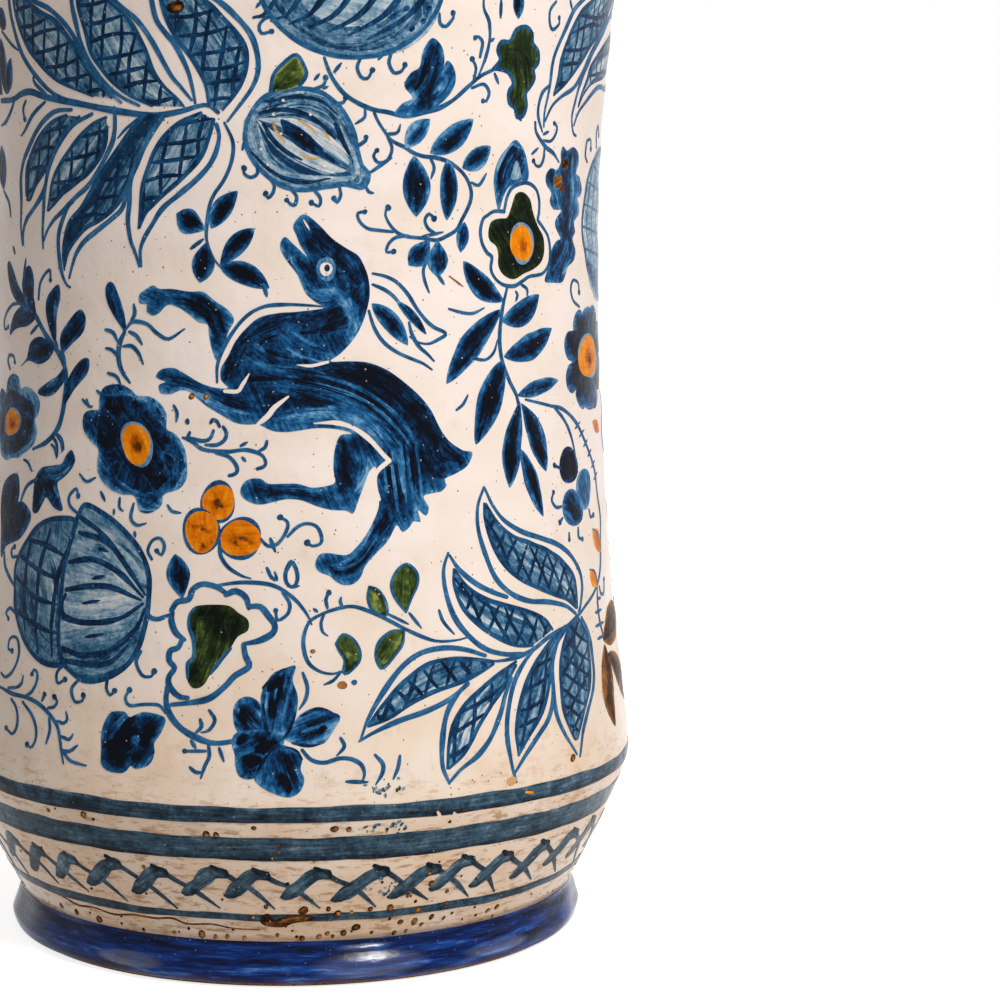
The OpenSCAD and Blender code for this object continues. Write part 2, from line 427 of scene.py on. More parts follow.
def leaf(base_x, base_z, tip_x, tip_z, width, bend=0.0, belly=0.48, colour="dark", load=0.55):
    """A leaf made with one press of the brush, from its stalk to its point, bent to the left by bend.
    The colour runs to one side and pools there."""
    base, tip = np.array((base_x, base_z)), np.array((tip_x, tip_z))
    length = math.dist(base, tip)
    side = np.array((base_z - tip_z, tip_x - base_x)) / length
    t = np.linspace(0, 1, max(8, int(length / 0.8)))[:, None]
    middle = base + (tip - base) * t + side * bend * 4 * t * (1 - t)
    half = width / 2 * np.sin(math.pi * t ** (math.log(0.5) / math.log(belly))) ** 0.8
    half = half * (1 + 0.05 * shaky(t * length)) + 0.12
    lay(np.vstack((middle + side * half, (middle - side * half)[::-1])), colour, load)
    lean = hand.choice((-0.22, 0.0, 0.25)) * half
    pooled = hand.uniform(0.45, 0.68) * half
    near, far = middle + side * (lean + pooled), middle + side * (lean - pooled)
    lay(np.vstack((near[1:-1], far[1:-1][::-1])), colour, min(1.0, load + hand.uniform(0.2, 0.5)), True)


def crossings(outline, direction, offset):
    """Where a straight line, at an offset, runs inside an outline: pairs of distances along it."""
    across = np.array((-direction[1], direction[0]))
    high = outline @ across - offset
    along = outline @ direction
    after_high, after_along = np.roll(high, -1), np.roll(along, -1)
    cut = (high < 0) != (after_high < 0)
    found = along[cut] - high[cut] * (after_along[cut] - along[cut]) / (after_high[cut] - high[cut])
    found.sort()
    return found[:len(found) // 2 * 2].reshape(-1, 2)


def hatch(outline, degrees):
    """Parallel strokes inside an outline, a little uneven."""
    spacing = 3.6
    direction = np.array((math.cos(math.radians(degrees)), math.sin(math.radians(degrees))))
    across = np.array((-direction[1], direction[0]))
    reach = outline @ across
    offset = reach.min() + spacing * 0.6
    while offset < reach.max():
        for first, last in crossings(outline, direction, offset):
            if last - first > 1.6:
                bow = hand.uniform(-0.06, 0.06) * (last - first)
                ends = [direction * (first + 0.2) + across * offset,
                        direction * (first + last) / 2 + across * (offset + bow),
                        direction * (last - 0.2) + across * (offset + hand.uniform(-0.3, 0.3))]
                stroke(np.concatenate(ends), 0.92, 0.6, 0.5, load=0.78)
        offset += spacing * hand.uniform(0.85, 1.15)


def hatched_leaf(outer_a, outer_b, wash_a, wash_b, lean=(80, 8), load=0.5):
    """A leaf with a drawn outer edge and, inside a white gap, a dark-edged wash and crossed hatching."""
    inner = np.vstack((flowing(wash_a), flowing(wash_b)[::-1]))
    lay(inner, "wash", load)
    stroke(wash_a, 6.5, 0.9, 0.6, "wash", load + 0.26, True)
    stroke(wash_b, 2.6, 0.9, 0.6, "wash", load + 0.26, True)
    near, far = pairs(wash_a), pairs(wash_b)
    facing = np.linspace(0, len(far) - 1, len(near)).astype(int)
    hairs((near + far[facing]) / 2, 3.0, 9, load - 0.3, load + 0.5, "wash")
    for degrees in lean:
        hatch(inner, degrees)
    for edge in (wash_a, wash_b):
        stroke(edge, 1.0, 0.7, 0.5, load=0.62)
    for edge in (outer_a, outer_b):
        stroke(edge, 1.15, 0.7, 0.5, load=0.45)


def petalled(x, z, petals, notch):
    """A flower's outline of round petals, each given by its direction in degrees and its reach."""
    petals = sorted(petals)
    rim = []
    for i, (degrees, reach) in enumerate(petals):
        back = (degrees - petals[i - 1][0]) % 360 / 2
        on = (petals[(i + 1) % len(petals)][0] - degrees) % 360 / 2
        for u in np.linspace(-1, 1, 15)[:-1]:
            angle = math.radians(degrees + (back if u < 0 else on) * u)
            r = notch + (reach - notch) * math.sqrt(1 - u * u)
            rim.append((x + r * math.cos(angle), z + r * math.sin(angle)))
    lay(rim, "dark", 0.6)
    for degrees, reach in petals:
        angle = math.radians(degrees + hand.uniform(-9, 9))
        out = np.array((math.cos(angle), math.sin(angle)))
        vein = np.concatenate((np.array((x, z)) + out * notch * 0.3, np.array((x, z)) + out * (reach - 2.2)))
        stroke(vein, reach * 0.42, 0.9, 0.5, "dark", 0.6 + hand.uniform(0.15, 0.5))


# The heel's bands, and those of the shoulder
# The jar was turned on the wheel under a loaded brush for the plain bands, which overlap where they meet,
# and the chain of crosses between the lines was struck by hand, one stroke at a time.

def wavering(turn):
    """The slow waver of a band's edge."""
    return sum(hand.uniform(0.04, 0.13) * np.sin(n * turn + hand.uniform(0, 6.3)) for n in (2, 5, 9, 16, 33))


def band(low, high, load):
    """A line round the whole jar, with edges that waver."""
    x = np.linspace(SHEET_LEFT, SHEET_LEFT + FULL_TURN, 361)
    around = x / SHEET_R / 1000
    lower = np.stack((x, low + wavering(around)), 1)
    upper = np.stack((x, high + wavering(around)), 1)
    lay(np.vstack((lower, upper[::-1])), "band", load)


def crossed(x, low, tall, lean):
    """A broad stroke that leans to the right, and a thin one from its top down across the next one."""
    foot, top = low + tall * hand.uniform(0.18, 0.32), low + tall * hand.uniform(0.82, 0.95)
    tail = hand.uniform(10.4, 12.6)
    stroke((x + lean - 1.4, top + 0.4, x + lean + 2.6, top - 2.4, x + lean + 0.55 * tail, foot + 1.6,
            x + lean + tail, low - hand.uniform(0, 1.2)), 1.15, 0.9, 0.3, "band", hand.uniform(0.5, 0.75))
    stroke((x, foot, x + 0.35 * lean, foot + 0.22 * tall, x + 0.7 * lean, foot + 0.5 * tall, x + lean,
            top - 0.7), 3.3, 0.55, 0.75, "band", hand.uniform(0.32, 0.5))
    stroke((x - 0.8, foot - 0.2, x + 1.2, foot - 0.3, x + 2.8, foot + 1.0), 0.9, 0.7, 0.4, "band", 0.85)
    stroke((x + 2.2, foot + 0.2, x + 0.75 * lean, foot + 0.4 * tall, x + lean + 1.2, top - 1.9), 0.6, 0.5,
        0.6, "band", 0.7)
    stroke((x + lean - 1.9, top + 0.6, x + lean - 0.6, top - 0.1, x + lean + 0.9, top - 0.4, x + lean + 1.1,
            top - 1.5), 1.2, 0.8, 0.8, "band", 0.95)


def cross_chain(low, tall):
    """The crosses of the front, and more at an even pitch round the rest of the jar."""
    front = (-71, -60, -49.5, -37, -24.5, -15, -2.8, 8, 20.5, 30, 40.5, 52.5, 64)
    front_width, more = 148, 26
    pitch = (FULL_TURN - front_width) / more
    for x in front:
        crossed(x, low, tall, hand.uniform(7.4, 9.6))
    for i in range(more - 1):
        crossed(front[-1] + 12 + i * pitch + hand.uniform(-0.8, 0.8), low, tall, hand.uniform(7.4, 9.2))
    crossed(-82.5, low, tall, hand.uniform(7.4, 9.2))


band(39.1, 42.6, 0.45)
band(39.1, 40.2, 0.8)
band(30.3, 35.6, 0.5)
band(30.2, 31.2, 0.85)
cross_chain(18.6, 10.0)
band(15.2, 17.1, 0.6)
band(247.0, 250.0, 0.5)
band(254.2, 258.6, 0.55)
band(254.2, 255.1, 0.85)
band(268.2, 269.6, 0.6)
cross_chain(273.2, 9.0)
stroke((-70, 15.6, -63, 15, -58, 13.8, -52, 14.2, -46, 13.5, -40, 14.3, -34, 14.2, -29.5, 14.7, -26, 13.6,
        -20, 14, -15, 13.2, -9, 13), 0.42, 0.6, 0.4, "rust", 0.75)
patch((-8, 14.3, -8.4, 16.4, -6.6, 17.2, -5.2, 15.8, -3.4, 16.4, 0, 17, 3.6, 16.4, 2.4, 15.4, -1.2, 14.8,
       -3.6, 13.8), "rust", 1.0)
stroke((-4.2, 15, -1.4, 15.9, 1.8, 16.1), 1.0, 0.5, 0.4, "rust", 0.35, True)
stroke((-7.2, 14.6, -5.8, 15), 0.7, 0.5, 0.4, "rust", 0.25, True)
stroke((-86, 40.9, -40, 40.7, -10, 40.9, 6, 41.2, 13.6, 42), 2.6, 1, 0.3, "band", 0.7)


# The sprays of hatched leaves
# Large leaves drawn in outline, filled with a thin blue wash inside a white gap, and cross-hatched darker.

def left_spray():
    stroke((-81, 190.7, -74.7, 190.7, -70, 191.8, -66, 192, -60.7, 190.7, -51, 189.2, -39.7, 187.3,
            -30.7, 186.3, -24.7, 187, -19, 188.3, -16.3, 186.8), 1.4, 0.8, 0.6)
    hatched_leaf(
        (-71.5, 219, -72, 212, -71.3, 206, -69, 201, -65, 196.5, -60, 192.5, -55, 190.3, -50, 189.3),
        (-71.5, 219, -67, 214, -62, 211, -57, 209, -53, 206, -50, 202.5, -48, 199, -45.5, 195, -42, 191.5,
         -38.5, 189),
        (-70.3, 216, -70, 212, -68.8, 206, -66, 201.5, -62, 198, -57, 194.5, -52, 192.5, -46, 190.5),
        (-70.3, 216, -65, 211.5, -60, 208.5, -55.5, 206.5, -52.5, 203.5, -49.5, 200, -47.5, 196.5, -44, 193,
         -41, 190))
    hatched_leaf(
        (-47, 219, -49.5, 214, -50, 210, -49.3, 205, -48, 200.5, -45.5, 196.5, -42, 192.5, -38, 190,
         -34, 188.3),
        (-47, 219, -43, 213.5, -38.7, 209.7, -34, 206, -31.3, 202.7, -29, 199, -26.3, 194.3, -24.3, 192,
         -22, 189.3),
        (-47.2, 216, -48.3, 210, -47, 204, -45.7, 199.5, -43, 196, -40, 193, -36, 190.3, -31, 188.2),
        (-47.2, 216, -44, 213, -40, 210, -36.5, 207, -34, 203.5, -32, 199.5, -30.3, 195, -28, 192,
         -25, 189.5, -23.7, 188))
    hatched_leaf(
        (-29, 220, -30.5, 215, -30, 209.7, -29.2, 205.7, -27.3, 203, -25.3, 200.7, -23, 196.3, -22, 193,
         -21.2, 188.7),
        (-29, 220, -22.5, 213.5, -15.7, 209.3, -12, 206, -9.3, 202.7, -8, 199, -7.8, 195.3, -9, 192,
         -11.7, 188.3, -14.3, 185),
        (-28.6, 216, -27.8, 209.3, -26.7, 205.3, -24.7, 201.7, -22, 198.3, -20, 195, -18.8, 192,
         -18.3, 188),
        (-28.6, 216, -24, 212.5, -18, 209, -15, 206, -12, 202.7, -10.3, 199.7, -10.2, 196, -11.3, 192.7,
         -13, 190, -15.3, 187.3))
    hatched_leaf(
        (-52.3, 187.8, -57, 187.7, -60.7, 186.3, -64.7, 183.7, -68, 180.7, -70.7, 177.7, -72.3, 174,
         -72.8, 170, -73, 164, -72.3, 159.2),
        (-61.5, 174.3, -62, 172.3, -64, 169.7, -68, 166.5, -70.3, 164.7, -71.8, 162, -72, 159.3),
        (-54, 186.7, -57.7, 185.7, -61.3, 184, -64.7, 181.7, -67.3, 179, -69.2, 176.3, -70, 173.3,
         -70.5, 170),
        (-50, 186.3, -54.7, 183, -58, 180, -60, 177.3, -62.7, 174.7, -66, 172, -68.7, 169, -70.3, 169))
    hatched_leaf(
        (-46.3, 186.8, -52.7, 184.3, -57.3, 180.3, -60.3, 176.3, -62, 172.3, -63, 169, -63.4, 163,
         -63.5, 158.5),
        (-40.3, 188, -40.2, 184.7, -41, 181.3, -43, 178, -45.3, 174.7, -48.3, 171.7, -52.3, 169.3,
         -56, 166.7, -59.3, 164.7, -61.7, 162.3, -63, 160.2),
        (-42.5, 186, -46, 184.7, -50, 182.3, -54, 179, -57.3, 175.7, -59.3, 173, -60.7, 169.7,
         -61.7, 166.7),
        (-42.3, 184, -43, 180.7, -45, 177.3, -48.3, 174.3, -51.3, 172.7, -56, 170.3, -59.3, 168,
         -61.4, 166.6))
    hatched_leaf(
        (-53, 168.5, -54.7, 167.3, -56.7, 164, -57.8, 160.7, -57.8, 157, -57, 153.7, -55.3, 151,
         -54, 150.3),
        (-37.8, 171.5, -39, 167.3, -41.7, 165, -46, 162.3, -49.7, 160, -52.3, 157.3, -53.7, 154.3,
         -54.3, 152.3),
        (-32.3, 186.7, -36.3, 183.3, -40, 179.3, -44, 174.7, -50, 167.7, -54, 164.3, -55.7, 160.7,
         -56.5, 157, -56, 154),
        (-29.3, 186.3, -31.7, 182.7, -33.7, 179, -35.7, 175, -38, 171, -41, 167.3, -45, 164.7, -49, 163,
         -52.3, 160.3, -54.7, 157.7, -55.9, 154.7), load=0.85)
    hatched_leaf(
        (-28.3, 186, -32.7, 180.7, -35, 176.3, -36.7, 173, -37.3, 168, -37.7, 164.5, -37, 160.3, -36, 158,
         -35, 155),
        (-16.7, 184.3, -16.2, 182, -17, 178.7, -18.7, 175.7, -21.7, 172.7, -25.3, 170, -29.3, 167,
         -31.7, 163.7, -33.7, 160.7, -34.7, 158, -34.5, 155),
        (-20, 186.7, -24.7, 184.7, -28.3, 182, -30.7, 179, -32.3, 175.7, -33.7, 172, -34.5, 168, -35, 163),
        (-17.3, 185.3, -18.3, 182, -19.7, 178.7, -22, 175.7, -25.3, 172.7, -29.3, 169.7, -32, 167.3,
         -33.3, 166, -34.8, 163))
    stroke((-33.7, 186, -37.3, 183.7, -39.7, 181.7), 0.7)
    strokes(
        0.9, (-74, 190.3, -76, 188, -79, 186, -82, 185.3),
        (-61, 189.7, -65.5, 187.3, -69.5, 184, -71.5, 182.8), (-64.7, 195, -64.3, 193.7, -60, 191))
    hook((-68.5, 190.2, -69.8, 188.5, -69.3, 186.3))
    leaf(-78, 192, -78.5, 204, 4.6)
    leaf(-77.5, 192, -73.6, 199.5, 3.5)
    leaf(-80.5, 192, -86, 199, 4.5)
    stroke((-77.5, 205.5, -73, 202.5, -70, 201), 0.7)
    blob(-76.5, 208, 1.8, 2.6, colour="dark", load=0.8)
    leaf(-83, 171.3, -83.5, 181, 5.2)
    stroke((-83, 171, -80, 168.5, -78.7, 165.3), 0.8)


def right_top_leaves():
    hatched_leaf(
        (113, 222, 104, 223.5, 95, 222, 84, 219, 74.3, 213.7, 70.3, 211, 67, 206.7, 64.3, 202.3, 63, 199,
         62.3, 195, 61.7, 191.7, 61, 188.7, 60.8, 185.5),
        (113, 221.5, 106, 216.5, 98, 212, 90, 208.5, 83.3, 204.3, 80, 201, 76.3, 197.3, 72.3, 194.3,
         67.3, 192.3, 63.7, 190, 61.3, 186.7),
        (109, 220.7, 101, 220.8, 94, 219, 84, 216, 78.3, 213.3, 74, 211, 70.3, 207.3, 68, 203.7, 66.3, 200,
         65.5, 196.7, 64, 192.8),
        (109, 220.3, 101, 216.8, 95, 213, 90, 209.5, 84, 206.3, 80.7, 204.3, 76.3, 200.7, 71.7, 197.3,
         68.3, 195, 64, 192.4))
    hatched_leaf(
        (119, 208, 109, 212.5, 98, 212, 91, 208.5, 84, 204, 80.7, 200.7, 77.3, 197.3, 75, 194.3, 73.7, 191,
         72.8, 187.7, 73.7, 184.7, 75.3, 184),
        (119, 207.5, 117.5, 201, 112, 198, 100, 195.7, 93.3, 195.8, 88.3, 195.3, 84, 193.8, 80, 191.7,
         76.3, 189.3, 74, 186.3),
        (115.5, 207, 108, 209, 100, 207.5, 92, 205, 82.7, 200, 80, 196.7, 77.2, 193.6, 75.8, 190.8),
        (115.5, 206.6, 112, 203.4, 106, 201, 93.3, 198, 85.3, 196.7, 81.3, 195.3, 77.7, 193, 75.8, 190.4))
    stroke((113, 221.7, 119, 218.5, 121, 213, 119, 207.8), 1.0)
    stroke((120.6, 214.5, 123.5, 212.5, 126, 209), 1.0)


def low_spray():
    stroke((70.5, 77.3, 66, 75.7, 61, 74.7, 57, 73.5, 53, 71.8, 48, 70.7, 43, 70.5, 40, 71), 1.0)
    hatched_leaf(
        (69.5, 77.8, 66, 79.8, 62, 81, 58, 81.8, 53, 82.5, 48, 84.5, 44, 88, 41.5, 93.5, 39.8, 99, 40, 104,
         41.7, 108),
        (71, 78, 72, 79, 73.3, 83, 72.5, 87, 69, 91, 64, 93.8, 58, 95.8, 52, 97.7, 47, 100.5, 44, 104,
         41.9, 107.8),
        (70, 79, 66, 81.5, 61, 83.2, 55, 85.5, 50, 88, 46, 91.5, 43, 96.5, 41.7, 101, 41.7, 104.5),
        (70.5, 79, 70.5, 82, 69.5, 86, 66, 89.5, 61, 92.5, 55, 94.8, 49, 97, 45, 100.3, 42.2, 104.4),
        (58, 118))
    hatched_leaf(
        (50, 71.3, 45, 71.8, 40, 73.5, 36, 76.8, 33, 81, 31.2, 86.5, 31, 91, 32.2, 94.5),
        (46.5, 84, 43, 85.3, 39, 87.3, 35, 90.5, 32.5, 94),
        (53, 72.8, 48, 73.5, 43, 75.8, 38.5, 79, 35, 83, 33.3, 87.5, 33.4, 91),
        (59.8, 75.5, 57.5, 78, 53, 80, 47, 82, 41, 84, 36.5, 87, 33.6, 90.9), (60, 120))
    hatched_leaf(
        (40, 72, 35, 73.8, 30, 74.5, 25, 73.7, 21, 71, 17, 66, 14, 61, 12.3, 56.5),
        (35.5, 66.3, 31, 63.5, 26, 61.5, 20, 59.8, 15, 57.7, 12, 56),
        (42, 70.5, 37, 71.5, 31, 72, 26, 71, 21, 67.5, 17, 63.5, 13.7, 59.2),
        (42, 70, 38, 68.3, 33, 66.7, 27, 65.2, 22, 63, 18, 60.5, 13.9, 59), (68, 128))
    hatched_leaf(
        (35.5, 66.5, 33, 64.5, 30.5, 61, 29.3, 56, 28.8, 50, 30.2, 45.7),
        (46.5, 66.5, 44.5, 63, 43, 59, 40.5, 54.5, 37, 51, 33, 48.5, 30.3, 46),
        (48, 69.8, 43, 67.5, 38, 64.5, 34.5, 62, 32, 58.5, 30.5, 54, 29.9, 49),
        (48, 69, 45, 65.5, 41, 61.5, 37.5, 57, 34, 52, 30.3, 48.9), (80, 24))
    hatched_leaf(
        (53.5, 72, 50, 69, 47, 65, 45.2, 60, 44.5, 54, 45, 48.5, 46, 44),
        (58.8, 66, 58.3, 60, 56.5, 56, 53, 53, 49, 49.5, 45.8, 46),
        (65, 75.3, 60, 73.5, 55, 70, 51, 65.5, 48.5, 61, 47, 55, 47, 49.6),
        (65, 75, 61, 72, 58.7, 67, 57, 62.5, 54.5, 57.5, 50, 53, 47.2, 49.8), (74, 14))
    hatched_leaf(
        (64.5, 75.5, 61.5, 73, 59.3, 68, 58.8, 62, 59.3, 57, 61.5, 52, 65, 47),
        (72, 76.5, 74.5, 73, 76, 68.5, 75.8, 63.5, 74, 59, 71, 55, 68, 51, 66.2, 46.3),
        (67, 76, 64, 72.5, 62.2, 68, 61.5, 62.5, 62, 57, 64.3, 51, 65.2, 50.2),
        (70, 77, 71.5, 75.5, 73.8, 71.5, 74.5, 66.5, 73, 61, 69.5, 55.5, 65.8, 50.3), (38, -32))


# The dark leaves and twigs
# Each small leaf is one press of a brush full of strong cobalt: nearly black where the colour pooled in
# the middle, and bright blue at its edge, where it ran thin.

def small_sprig():
    stroke((-15, 184.7, -13.3, 180.7, -13.7, 176.7, -15.3, 173, -17.7, 169.7, -18.8, 166.7, -19.3, 162,
            -19, 159.7, -17.7, 156.7, -16.3, 155), 0.8)
    leaf(-19.3, 162.7, -26, 166, 5, 0.3, 0.6)
    leaf(-18.3, 163, -12.5, 170.7, 4, 0.5)
    leaf(-19.3, 160, -20.7, 151.7, 5, 0, 0.55)
    leaf(-16.3, 155.2, -9, 163, 4, 0.4, 0.55)
    leaf(-16.3, 155, -5.8, 150.7, 4.6, 0.8)
    stroke((-7, 151.5, -6.3, 149), 0.9)
    stroke((-22.7, 158.8, -20, 160.7), 0.9)


def winding_stem():
    stroke((5.7, 198, 6.7, 195.3, 8, 193, 10, 190.7, 12.7, 189, 16, 187.7, 19.3, 187.2, 22.7, 186.5,
            26, 187, 30, 188, 34, 190, 37.7, 193, 40.7, 195.3, 44, 196.8), 0.95, 0.7, 0.8)
    stroke((16.3, 187, 17.3, 185, 19, 182.7, 20.3, 181.3, 23.3, 180, 25, 179, 27.3, 178.3, 30.7, 178,
            34, 177, 37, 175, 38.7, 172.7, 39.3, 170.3, 38.7, 168, 37, 165, 35.7, 163, 33.3, 161.7,
            30.7, 160.8, 27.3, 161.2, 24, 161.5, 21.7, 162.3, 20, 164, 19, 166, 19.3, 167.5), 0.85, 0.7,
        0.7)
    strokes(
        0.75, (14.3, 187.7, 14.2, 186, 12.3, 184.7), (19, 182.7, 21.3, 183, 22, 184.7),
        (15.7, 174.8, 20.3, 177.8), (27.3, 161.5, 32.3, 162.5), (39.3, 173, 41.3, 172.5, 43.3, 175),
        (29, 178, 30, 176, 29.3, 173.7), (28.7, 156.7, 27.7, 154.7, 28, 152.3, 29, 149.8),
        (43, 202.7, 44, 203.3), (40.3, 195.5, 42, 199.3, 42.8, 203, 42.3, 206.7, 40.7, 209.7, 41, 214),
        (44.5, 196, 45.7, 194))
    hooks(
        (19.3, 182, 20.3, 179.7, 19.3, 177.3, 17.3, 176.8, 16.3, 178.2, 17, 179.3),
        (20.7, 162.5, 17.3, 162.8, 15, 163.2, 13.3, 164.7, 13, 166.3, 14.5, 166.6),
        (24, 161.7, 21.3, 161.3, 19.7, 160, 19.2, 158.3, 20.8, 158.4),
        (30.3, 162.3, 28.7, 163.3, 28, 165, 29, 166.3, 30.2, 165.3),
        (40.5, 199.3, 41, 202.3, 39.7, 203.5, 39, 203.2), (39, 194.3, 39.5, 197, 38.5, 198.8),
        (38.7, 192.8, 41.7, 193.7, 43.3, 192, 42.7, 190.3, 41.8, 190.2))
    blob(19.6, 167.5, 0.7)
    leaf(23.3, 180, 28.7, 186, 4, 0.4, load=0.3)
    leaf(29, 179, 39.3, 186.3, 5, -0.5, load=0.38)
    leaf(25.3, 178.3, 26, 165.7, 6, 0.3, 0.5)
    leaf(33.3, 177.7, 33.3, 165, 4.2, 0.3)
    leaf(37, 176, 44.2, 180.7, 4.6, -0.4, load=0.42)
    leaf(37.8, 164.6, 36.7, 158.3, 3.0)
    leaf(29, 160.7, 24.3, 155.5, 4.7, 0.3, 0.55)
    leaf(30.9, 160.7, 31.2, 153, 4.7, 0, 0.55)
    stroke((31.2, 153.4, 32.7, 151.5), 0.8)
    patch((20.7, 186.5, 22.3, 189, 24.7, 190.3, 22.7, 192.7, 24, 195.3, 26, 196.7, 26.7, 200, 28.7, 202.7,
           31, 201, 31.7, 198, 31, 195.3, 32.3, 198.2, 34, 196.7, 34.5, 194, 33.3, 191.3, 30.3, 188.7,
           26.7, 187.3), load=0.68)
    hairs((23, 188, 27, 193, 28.8, 200.6), 2.0, 14, 0.3, 1.1)
    hairs((29, 189.6, 32, 193, 33, 196.6), 1.2, 9, 0.15, 0.6)
    bunch = (44.2, 197, 46, 199, 45.2, 201, 46.2, 202.8, 48.5, 203, 50, 205.5, 53, 206.3, 55, 205,
        55.5, 203, 57.6, 201.4, 57.8, 199, 56.2, 197.5, 56.6, 195.5, 55.2, 193.6, 54, 192.2, 54.6, 189.6,
        53.6, 187.5, 51.7, 187.2, 51, 189, 49.2, 190, 48.8, 192.4, 50, 194.2, 48.4, 196.4, 46, 197)
    patch(bunch, "green", 0.72)
    hairs((47, 199.6, 51, 200, 53, 194, 52.8, 189), 3.4, 22, 0.45, 1.0, "green")
    stroke(bunch + bunch[:2], 0.85, 1, 1, load=0.6)
    stroke((51, 188, 53, 186.5), 0.8)
    strokes(0.8, (45.3, 211.3, 45.3, 207.7), (68.3, 213, 69.5, 211.2))
    leaf(50.3, 214, 50.4, 207.8, 3.2)
    hook((62.7, 212.3, 60.7, 210.3, 60.7, 207.7, 62, 206.3, 64.3, 207.7, 64.2, 209))


def lobed_bunch():
    strokes(
        0.9, (61.7, 194.2, 59.7, 192.7, 58.7, 190, 58.8, 187.3, 60.3, 184.3),
        (57.7, 186.3, 58, 184.3, 60, 182.3, 62, 181, 64.7, 180, 66.3, 179, 67.7, 178))
    hooks(
        (60.7, 182.5, 63.7, 182.5, 65.7, 184.3, 66, 185.7, 65, 186.3),
        (61.3, 180.7, 61.3, 178.7, 60.3, 177, 58.7, 177, 57.7, 178))
    strokes(0.7, (60.7, 183.8, 62.7, 184.5), (57, 179.5, 59, 180.8))
    patch((68.2, 180, 69, 181.5, 71, 180.6, 74, 181.5, 77, 180.3, 77.8, 178, 76.8, 175.8, 79, 175,
           80.5, 172.5, 79.5, 170.8, 77.7, 170.3, 79, 168.5, 78.8, 166.5, 76.5, 165, 77.2, 162.8,
           75.5, 161.2, 77, 158.5, 75.8, 156.3, 73, 155, 70.5, 151.8, 66, 151.6, 62.8, 152, 64.2, 155,
           65.2, 158.5, 67.5, 160.7, 69.5, 161.3, 67.3, 163.7, 67.3, 165.5, 69.5, 167.5, 66, 167.7,
           64.3, 169.5, 64.8, 171.2, 62.8, 173, 62.5, 175, 64.5, 176.6, 67, 176.3, 68.6, 178), load=0.7)
    hairs((75, 180, 76.4, 172, 74.4, 163), 2.6, 26, 0.1, 0.5)
    hairs((66, 175, 66.6, 170, 70, 165), 2.0, 14, 0.15, 0.55)
    hairs((74, 160, 71, 156, 67, 152.6), 2.2, 14, 0.2, 0.6)
    for x, z, wide, tall in ((67.4, 173.8, 2.0, 1.5), (70.4, 177.6, 1.8, 1.2), (69.4, 172.4, 1.2, 1.0)):
        blob(x, z, wide, tall, hand.uniform(0, 60), "rust", hand.uniform(0.6, 0.9))


def left_sprig():
    stroke((-66, 114.9, -61, 116.8, -57.5, 119.8, -55.6, 124, -55, 129, -55.5, 133, -58, 136.5, -62.5, 140,
            -67, 144.2), 1.3, 0.5, 0.9)
    for rim in (
            (-81, 154, -80.3, 155.6, -78, 154.2, -74, 150, -71.4, 148, -68, 145.6, -66.8, 143.6, -70, 144.4,
             -74, 146, -78, 148.6),
            (-72.4, 151, -71, 154, -69, 154.6, -67.2, 152, -67.3, 148, -66.6, 144, -69, 145, -71.6, 148),
            (-79.2, 139.4, -77.6, 143.4, -73, 145.8, -68.4, 145, -66.8, 143.4, -70, 141.6, -74, 141.1,
             -76.6, 140.5),
            (-57.8, 150.8, -57.3, 148, -58.7, 144, -58.6, 138.6, -60.4, 140, -62.4, 144, -62.3, 147.2,
             -60.4, 149.4),
            (-56.3, 136.3, -57, 140, -54, 143.6, -51, 145.6, -49.4, 144, -50, 140.8, -53, 138.4),
            (-73.2, 132.6, -70.2, 134.6, -68.4, 138, -65, 139.4, -61, 138.6, -59, 137.5, -61, 134.8,
             -65, 133.4, -69.4, 134),
            (-55.4, 133.4, -58, 131.2, -61.5, 129.6, -64.8, 127.8, -64.2, 126.8, -61, 126.6, -58, 127.8,
             -55.4, 130.6),
            (-55.2, 125.2, -55.1, 129, -53, 132.6, -50, 135.1, -48, 135, -48.6, 132, -52, 128.8)):
        patch(rim, load=0.78)
        around = pairs(rim)
        stroke((around + 1.8 * around.mean(0))[:len(around) // 2] / 2.8, 1.0, 0.5, 0.3, "dark", 0.45, True)
    stroke((-58.6, 138.4, -58.2, 136.6), 1.3)
    stroke((-56.4, 136.6, -55.4, 133.4), 1.3)
    hooks(
        (-73.5, 146.4, -78, 146, -82, 144, -83.4, 142, -82.4, 140.4, -80.6, 141),
        (-65.3, 147.5, -64.5, 151, -62.5, 153.2, -61, 153.8, -60.7, 151.7),
        (-79.3, 131.7, -80.6, 133.4, -79.6, 134.8, -77, 134.6, -76.5, 133.4))
    strokes(
        0.85, (-71.8, 152.3, -71, 156.2), (-77.4, 158.7, -76.6, 157.2), (-68.4, 140, -65.4, 142),
        (-59, 118, -57.5, 116.5, -57, 114), (-57.5, 118.6, -56, 117.6, -55, 115.5))


